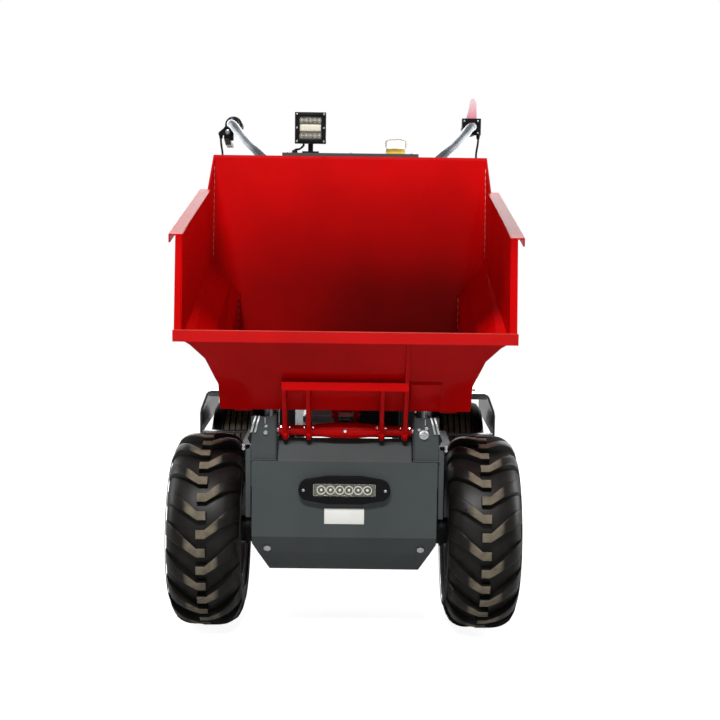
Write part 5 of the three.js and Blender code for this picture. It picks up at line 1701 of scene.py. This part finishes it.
@dataclass
class Console:
    """The dash box's screws, switches, glands and lever boot."""

    half: float = 162.0
    front_y: float = 455.0
    back_y: float = 555.0
    top_z: float = 1005.0
    low_z: float = 815.0
    slope_z: float = 945.0

    def face_y(self, z: float) -> float:
        """Gives the dash face at a height.

        Args:
            z: The height.

        Returns:
            The Y of the face there.
        """
        return read_profile(((self.low_z, self.back_y - 40), (self.slope_z, self.back_y)), z)

    def build(self) -> None:
        """Builds the dash's small parts."""
        self.screws()
        self.switches()
        self.lever()

    def screws(self) -> None:
        """Adds the screws of the lid and the flanged seam."""
        shape = Shape().use(GREY)
        shape.block((-self.half - 1.4, self.front_y - 1, self.top_z - 22),
                    (self.half + 1.4, self.back_y + 1.2, self.top_z - 18), 0.9)
        shape.use(ZINC)
        for x in (-148, 0, 148):
            for y in (467, 543):
                if x or y > 500:
                    shape.button((x, y, self.top_z), (0, 0, 1), 8)
        for s in SIDES.values():
            for z in (860, 935):
                shape.hexagon((s * self.half, 479, z), (s, 0, 0), 10)
        shape.finish("dash_screws", "chassis")

    def switches(self) -> None:
        """Adds the key switch, the rockers, the meter and the cable glands."""
        out = Vector((0, self.slope_z - self.low_z, -40)).normalized()
        shape = Shape().use(ABS)
        for x in (-70, -40):
            z = 912
            at = Vector((x, self.face_y(z), z))
            shape.rod(at, at + out * 3, 12.5, sides=4, bevel=1.0)
            shape.rod(at + out * 3, at + out * 7, 8.5, 7.0, sides=4, bevel=1.0)
        meter = Vector((0, self.face_y(900), 900))
        shape.rod(meter, meter + out * 4, 27, 25, sides=48, bevel=1.0)
        key = Vector((64, self.face_y(905), 905))
        shape.rod(key, key + out * 6, 13, sides=32, bevel=1.0)
        for s in SIDES.values():
            gland = Vector((s * 122, self.back_y, 965))
            shape.rod(gland, gland + Vector((0, 9, 0)), 8.5, sides=6, bevel=0.8)
            shape.rod(gland + Vector((0, 9, 0)), gland + Vector((0, 16, 0)), 6.5, 5.0, sides=20, bevel=0.6)
        lead = Vector((-134, 491, self.top_z))
        shape.rod(lead, lead + Vector((0, 0, 7)), 7.5, 6, sides=20, bevel=0.8)
        shape.use(MILKY)
        shape.rod(meter + out * 4, meter + out * 5.5, 22, 21, sides=48, bevel=0.4)
        shape.use(ZINC)
        shape.rod(key + out * 6, key + out * 9, 9, sides=28, bevel=0.5)
        tab = key + out * 9
        shape.block(tab - Vector((1.2, 0, 9)), tab + Vector((1.2, 14, 9)), 0.6)
        shape.finish("dash_switches", "chassis")

    def lever(self) -> None:
        """Adds the rubber boot of the tipping lever."""
        wear("tipping_lever", ABS)
        shape = Shape().use(SOFT_RUBBER)
        folds = [(20, -1), (20, 2), (16, 4), (18, 6), (13, 8.5), (15, 10.5), (9, 13), (5.2, 16), (5.2, -1)]
        shape.turned([*folds, folds[0]], (0, self.back_y, 971), Axis.Y, 36)
        shape.finish("lever_boot", "chassis")


# ------------------------------------------------------------------ controls and cords


@dataclass
class Controls:
    """The throttle on the operator's left, the clutch on the right, and their cables."""

    bar_z: float = 1087.0
    bar_x: float = 318.0
    cable_radius: float = 2.8
    lead_radius: float = 2.5
    throttle_cable: tuple[tuple[float, float, float], ...] = (
        (338, 893, 1066.7), (338, 893, 1048.7), (334, 891, 1022.7), (322, 853, 974.7), (248, 743, 926.7),
        (186, 675, 915), (132, 605, 957), (122, 575, 965), (122, 555.3, 965),
    )
    clutch_cable: tuple[tuple[float, float, float], ...] = (
        (-350, 893, 1058.7), (-350, 893, 1040.7), (-346, 891, 1014.7), (-334, 853, 966.7),
        (-248, 743, 918.7), (-186, 675, 915), (-132, 605, 957), (-122, 575, 965), (-122, 555.3, 965),
    )
    lamp_lead: tuple[tuple[float, float, float], ...] = (
        (-113, 489, 1026.7), (-113, 489, 1022.7), (-122, 489, 1014.7), (-132, 491, 1013),
        (-134, 491, 1009), (-134, 491, 1005.3),
    )

    def build(self) -> None:
        """Dresses the controls and builds their small parts and cords."""
        wear("throttle_housing", ABS)
        wear("throttle_lever", ROSE)
        wear("clutch_lever", ABS)
        self.throttle()
        self.clutch()
        self.cord("throttle_cable_sheath", "control_cable_left", self.throttle_cable, self.cable_radius)
        self.cord("clutch_cable_sheath", "control_cable_right", self.clutch_cable, self.cable_radius)
        self.cord("lamp_lead_sheath", "work_light_lead", self.lamp_lead, self.lead_radius)

    def throttle(self) -> None:
        """Adds the housing's seam, screws and cable seat."""
        shape = Shape().use(ABS)
        shape.block((293.4, 892.8, 1070), (344.6, 895.2, 1108), 0.8)
        shape.rod((338, 893, 1067.5), (338, 893, 1057), 5.5, 4.2, sides=20, bevel=0.6)
        shape.use(ZINC)
        for x in (300, 336):
            for z in (1073, 1104):
                shape.button((x, 880, z), (0, -1, 0), 6)
        shape.finish("throttle_fittings", "chassis")

    def clutch(self) -> None:
        """Adds the clutch lever's pivot, spring and cable seat."""
        shape = Shape().use(ZINC)
        shape.hexagon((-331, 884, 1068), (0, -1, 0), 8)
        for y in (885, 901):
            shape.button((-320, y, 1103.5), (0, 0, 1), 5)
        shape.use(ABS)
        ring = [(12.2, 884), (17.5, 884), (17.5, 902), (12.2, 902), (12.2, 884)]
        shape.turned(ring, (-self.bar_x, 0, self.bar_z), Axis.Y, 32)
        shape.rod((-350, 893, 1060), (-350, 893, 1050), 5.5, 4.2, sides=20, bevel=0.6)
        shape.finish("clutch_fittings", "chassis")

    @staticmethod
    def cord(name: str, node: str, points: Sequence[Point], radius: float) -> None:
        """Args:
            name: The cable's name.
            node: The CAD node it stands for.
            points: The points of its centre line.
            radius: Its radius.
        """
        shape = Shape().use(SOFT_RUBBER)
        shape.tube(points, radius, 14, 6)
        made = shape.finish(name, "chassis", 60)
        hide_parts(node)
        line = rounded_line(points, 6)


# ------------------------------------------------------------------ lamps


@dataclass
class Lamps:
    """The work lamp and the beacon on the dash, and the lamp in the nose."""

    lamp: tuple[float, float, float] = (-96.0, 469.0, 1064.0)
    lamp_half: float = 37.0
    recess: tuple[float, float] = (27.0, 28.0)
    recess_y: float = 475.0
    beacon: tuple[float, float, float] = (108.0, 495.0, 1005.3)
    bar_front: float = -170.3
    bar_window: float = -165.3
    bar_z: float = 323.0

    def build(self) -> None:
        """Dresses the lamps and builds their optics."""
        wear("work_light", ABS)
        wear("light_bar", ABS)
        self.work_lamp()
        self.turn_beacon()
        self.nose_lamp()

    def work_lamp(self) -> None:
        """Adds the border, the reflectors, the ribbed lens band and the screws."""
        x0, y0, z0 = self.lamp
        shape = Shape().use(ABS)
        border = (self.lamp_half - 2.5, self.lamp_half - 2.5)
        self.bezel(shape, (x0, y0, z0), border, (26, 26))
        shape.use(DARK_CHROME)
        half_w, half_h = self.recess
        front, back = self.recess_y - 0.4, self.recess_y + 0.2
        shape.block((x0 - half_w, front, z0 - half_h), (x0 + half_w, back, z0 + half_h), 0)
        for row in (18, -18):
            for i in range(5):
                at = Vector((x0 - 21 + 10.5 * i, self.recess_y - 0.4, z0 + row))
                self.reflector(shape, at, 4.9)
                shape.rod(at, at + Vector((0, -2.4, 0)), 2.6, 1.6, sides=16, bevel=0.4)
        shape.use(CREAM_LENS)
        front = self.recess_y - 3.5
        shape.block((x0 - half_w + 2, front, z0 - 8), (x0 + half_w - 2, self.recess_y, z0 + 8), 1.4)
        for i in range(5):
            left = x0 - 24.5 + 10.2 * i
            shape.block((left, self.recess_y - 4.6, z0 - 7), (left + 8, self.recess_y - 3, z0 + 7), 1.2)
        shape.use(ZINC)
        reach = self.lamp_half - 5
        for dx, dz in ((-1, -1), (-1, 1), (1, -1), (1, 1), (-1, 0), (1, 0)):
            shape.button((x0 + dx * reach, y0 - 0.6, z0 + dz * reach), (0, -1, 0), 5)
        shape.finish("work_lamp_optics", "chassis")

    @staticmethod
    def bezel(shape: Shape, centre: Point, half: tuple[float, float], window: tuple[float, float]) -> None:
        """Adds the four raised borders round a lamp's window.

        Args:
            shape: The shape that gets them.
            centre: The middle of the lamp's face.
            half: Half the face's width and height.
            window: Half the window's width and height.
        """
        x, y, z = centre
        for s in (-1, 1):
            across = sorted((z + s * window[1], z + s * half[1]))
            shape.block((x - half[0], y - 1.2, across[0]), (x + half[0], y + 0.5, across[1]), 0.6)
            upright = sorted((x + s * window[0], x + s * half[0]))
            shape.block((upright[0], y - 1.2, z - window[1]), (upright[1], y + 0.5, z + window[1]), 0.0)

    @staticmethod
    def reflector(shape: Shape, centre: Vector, radius: float) -> None:
        """Adds one small dished reflector with its light-emitting dot.

        Args:
            shape: The shape that gets it.
            centre: The middle of its foot.
            radius: Its outer radius.
        """
        shape.use(SATIN_RING)
        rim = [(radius, 0.0), (radius, -2.6), (radius - 0.6, -3.0), (radius * 0.78, -2.6)]
        rim.append((radius * 0.72, 0.0))
        shape.turned([*rim, rim[0]], centre, Axis.Y, 28)
        shape.use(DARK_CHROME)
        dish = [(0.0, -0.3), (radius * 0.4, -0.5), (radius * 0.74, -1.8), (radius * 0.74, 0.0)]
        shape.turned(dish, centre, Axis.Y, 28)
        shape.use(CREAM_LENS)
        shape.rod(centre, centre + Vector((0, -1.4, 0)), radius * 0.3, radius * 0.24, sides=14, bevel=0.3)

    def turn_beacon(self) -> None:
        """Builds the beacon's yellow foot and pale dome in place of its CAD node."""
        shape = Shape().use(YELLOW)
        foot = [(0, 0), (23.5, 0), (23.5, 5), (22.5, 8), (22.5, 13), (0, 13)]
        shape.turned(foot, self.beacon, Axis.Z, 48)
        for z in (5.5, 8.5):
            ring = [(22, z), (24.4, z + 0.5), (24.4, z + 1.4), (22, z + 1.9), (22, z)]
            shape.turned(ring, self.beacon, Axis.Z, 48)
        shape.use(MILKY)
        dome = [(0, 12.5), (26.5, 12.5), (26.5, 30)]
        for i in range(1, 7):
            turn = math.radians(15 * i)
            dome.append((26.5 * math.cos(turn) if i < 6 else 0.0, 30 + 8 * math.sin(turn)))
        shape.turned(dome, self.beacon, Axis.Z, 48)
        for i in range(12):
            turn = math.tau * i / 12
            at = Vector(self.beacon) + Vector((math.cos(turn) * 26.3, math.sin(turn) * 26.3, 15))
            shape.rod(at, at + Vector((0, 0, 12)), 1.1, sides=8)
        made = shape.finish("beacon_dome", "chassis")
        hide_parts("beacon")

    def nose_lamp(self) -> None:
        """Adds the window, the six reflectors and the screws of the nose lamp."""
        window = (62.5, 12.6)
        centre = (0, self.bar_window, self.bar_z)
        shape = Shape().use(DARK_CHROME)
        shape.block((-window[0], self.bar_window - 0.5, self.bar_z - window[1]),
                    (window[0], self.bar_window + 0.2, self.bar_z + window[1]), 0)
        shape.use(MIRROR)
        self.bezel(shape, centre, window, (window[0] - 1.3, window[1] - 1.3))
        for i in range(6):
            self.reflector(shape, Vector((18.5 * (i - 2.5), self.bar_window - 0.4, self.bar_z)), 9.2)
        shape.use(ZINC)
        for s in SIDES.values():
            shape.button((s * 82, self.bar_front, self.bar_z), (0, -1, 0), 7)
        shape.finish("nose_lamp_optics", "chassis")


# ------------------------------------------------------------------ studio


@dataclass
class Studio:
    """The plain floor, the black card, the soft lamps, the white room and the camera."""

    place: tuple[float, float, float] = (0.02449, -3.33039, 0.92311)
    lens: float = 71.108
    pitch: float = 0.120263
    yaw: float = 0.0012617
    roll: float = 0.0122063
    floor_radius: float = 3.0
    floor_glow: float = 0.92
    room: float = 0.05
    mirrored_room: float = 0.35
    flag_y: float = -1.0
    flag_half: float = 0.33
    flag_span: tuple[float, float] = (1.22, 1.64)

    def build(self) -> None:
        """Builds the whole studio."""
        self.floor()
        self.flag()
        self.lights()
        self.camera()
        self.world()
        bpy.context.scene.view_settings.view_transform = "Standard"

    def floor(self) -> bpy.types.Object:
        """Builds a round white floor that fades into the backdrop and keeps the soft shadow.

        Returns:
            The floor.
        """
        bm = bmesh.new()
        bmesh.ops.create_circle(bm, cap_ends=True, segments=64, radius=self.floor_radius)
        mesh = bpy.data.meshes.new("studio_floor")
        bm.to_mesh(mesh)
        bm.free()
        paint = bpy.data.materials.new("matt_white_floor")
        paint.use_nodes = True
        tree = paint.node_tree
        shader = tree.nodes["Principled BSDF"]
        shader.inputs["Base Color"].default_value = srgb(0xC4C4C4)
        shader.inputs["Roughness"].default_value = 1.0
        shader.inputs["Specular IOR Level"].default_value = 0.0
        seen = add(tree, "LightPath").outputs["Is Camera Ray"]
        glow = add(tree, "Math", {0: seen, 1: self.floor_glow}, operation="MULTIPLY").outputs[0]
        shader.inputs["Emission Color"].default_value = srgb(0xFFFFFF)
        tree.links.new(glow, shader.inputs["Emission Strength"])
        where = add(tree, "TexCoord").outputs["Object"]
        reach = add(tree, "VectorMath", {0: where}, operation="LENGTH").outputs["Value"]
        fade = band(tree, reach, self.floor_radius * 0.35, self.floor_radius * 0.9)
        clear = add(tree, "BsdfTransparent").outputs[0]
        mixed = add(tree, "MixShader", {0: fade, 1: shader.outputs[0], 2: clear})
        tree.links.new(mixed.outputs[0], tree.nodes["Material Output"].inputs["Surface"])
        mesh.materials.append(paint)
        return set_out("studio_floor", mesh)

    def flag(self) -> bpy.types.Object:
        """Hangs the black card that keeps the high lamp out of the tub's depth.

        Returns:
            The card, which only casts shade.
        """
        low, high = self.flag_span
        bm = bmesh.new()
        middle = Matrix.Translation((0, self.flag_y, (low + high) / 2))
        upright = Matrix.Rotation(math.pi / 2, 4, "X")
        shape = Matrix.Diagonal((self.flag_half, (high - low) / 2, 1.0, 1.0))
        bmesh.ops.create_grid(bm, x_segments=1, y_segments=1, size=1.0, matrix=middle @ upright @ shape)
        mesh = bpy.data.meshes.new("black_card")
        bm.to_mesh(mesh)
        bm.free()
        paint = bpy.data.materials.new("black_card")
        paint.use_nodes = True
        paint.node_tree.nodes["Principled BSDF"].inputs["Base Color"].default_value = srgb(0x050505)
        mesh.materials.append(paint)
        made = set_out("black_card", mesh)
        made.visible_camera = False
        made.visible_glossy = False
        return made

    def world(self) -> None:
        """Lights the room evenly, and shows plain white to the camera."""
        world = bpy.data.worlds.new("studio_room")
        world.use_nodes = True
        tree = world.node_tree
        tree.nodes.clear()
        room = add(tree, "Background", {"Color": srgb(0xFFFFFF), "Strength": self.room})
        shine = add(tree, "Background", {"Color": srgb(0xFFFFFF), "Strength": self.mirrored_room})
        white = add(tree, "Background", {"Color": srgb(0xFFFFFF), "Strength": 1.0})
        ray = add(tree, "LightPath")
        glossy, seen = ray.outputs["Is Glossy Ray"], ray.outputs["Is Camera Ray"]
        lit = add(tree, "MixShader", {0: glossy, 1: room.outputs[0], 2: shine.outputs[0]})
        mixed = add(tree, "MixShader", {0: seen, 1: lit.outputs[0], 2: white.outputs[0]})
        out = add(tree, "OutputWorld")
        tree.links.new(mixed.outputs[0], out.inputs["Surface"])
        bpy.context.scene.world = world

    def lights(self) -> list[bpy.types.Object]:
        """Hangs the soft boxes.

        Returns:
            The lamps.
        """
        return [
            self.softbox("low_front_softbox", (0, -3.7, 0.5), (0, 0, 0.5), 9.0, 2.8, 0.7),
            self.softbox("front_high_softbox", (-0.3, -2.86, 3.12), (0, 0, 0.8), 130.0, 1.4, 0.4),
            self.softbox("top_softbox", (0, 0.3, 3.2), (0, 0.2, 0.5), 8.0, 2.2, 2.2),
            self.softbox("backdrop_softbox", (0, 3.2, 1.3), (0, 0, 0.8), 105.0, 5.0, 2.4),
            self.softbox("left_rim_softbox", (2.6, 0.3, 1.2), (0, 0, 0.6), 50.0, 1.4, 1.8),
            self.softbox("right_rim_softbox", (-2.6, 0.3, 1.2), (0, 0, 0.6), 30.0, 1.4, 1.8),
        ]

    @staticmethod
    def softbox(
        name: str, place: Point, target: Point, power: float, width: float, height: float
    ) -> bpy.types.Object:
        """Hangs one lamp that faces a point.

        Args:
            name: Its name.
            place: Where it hangs, in metres.
            target: The point it faces, in metres.
            power: Its power in watts.
            width: Its width in metres.
            height: Its height in metres.

        Returns:
            The lamp.
        """
        lamp = bpy.data.lights.new(name, "AREA")
        lamp.shape = "RECTANGLE"
        lamp.energy = power
        lamp.size = width
        lamp.size_y = height
        made = set_out(name, lamp)
        aim = Vector(target) - Vector(place)
        made.matrix_world = Matrix.Translation(place) @ aim.to_track_quat("-Z", "Y").to_matrix().to_4x4()
        made.visible_camera = False
        return made

    def camera(self) -> bpy.types.Object:
        """Sets the camera in front of the machine, a little below the skip's rim.

        Returns:
            The camera.
        """
        cp, sp = math.cos(self.pitch), math.sin(self.pitch)
        cy, sy = math.cos(self.yaw), math.sin(self.yaw)
        cr, sr = math.cos(self.roll), math.sin(self.roll)
        ahead, side, up = Vector((0, cp, -sp)), Vector((1, 0, 0)), Vector((0, sp, cp))
        turned_side = side * cy - ahead * sy
        turned_ahead = side * sy + ahead * cy
        right = turned_side * cr + up * sr
        above = up * cr - turned_side * sr
        data = bpy.data.cameras.new("front_camera")
        data.lens = self.lens
        data.clip_start = 0.05
        made = set_out("front_camera", data)
        turn = Matrix((right, above, -turned_ahead)).transposed().to_4x4()
        made.matrix_world = Matrix.Translation(self.place) @ turn
        bpy.context.scene.camera = made
        return made


# ------------------------------------------------------------------ build


def machine() -> list:
    """Lists the sub-assemblies in building order.

    Returns:
        Objects that each have a build method.
    """
    wheels: list[Wheel] = []
    for side in SIDES:
        wheels.append(ChevronWheel(
            End.FRONT, side, radius=203.0, half_width=76.0, bead=104.0, track=285.0, axle_y=0.0
        ))
        wheels.append(RibbedWheel(
            End.REAR, side, radius=185.0, half_width=73.0, bead=80.0, track=278.0, axle_y=740.0
        ))
    parts = [Skip(), Ram(), Chassis(), Engine(), Handlebars(), Console(), Controls(), Lamps()]
    return [*wheels, *parts, Studio()]


def main() -> None:
    """Builds the whole machine and logs each piece."""
    logging.basicConfig(level=logging.INFO, format="%(name)s: %(message)s")
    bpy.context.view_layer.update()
    for part in machine():
        log.info("building %s", type(part).__name__)
        part.build()


if __name__ == "__main__":
    main()
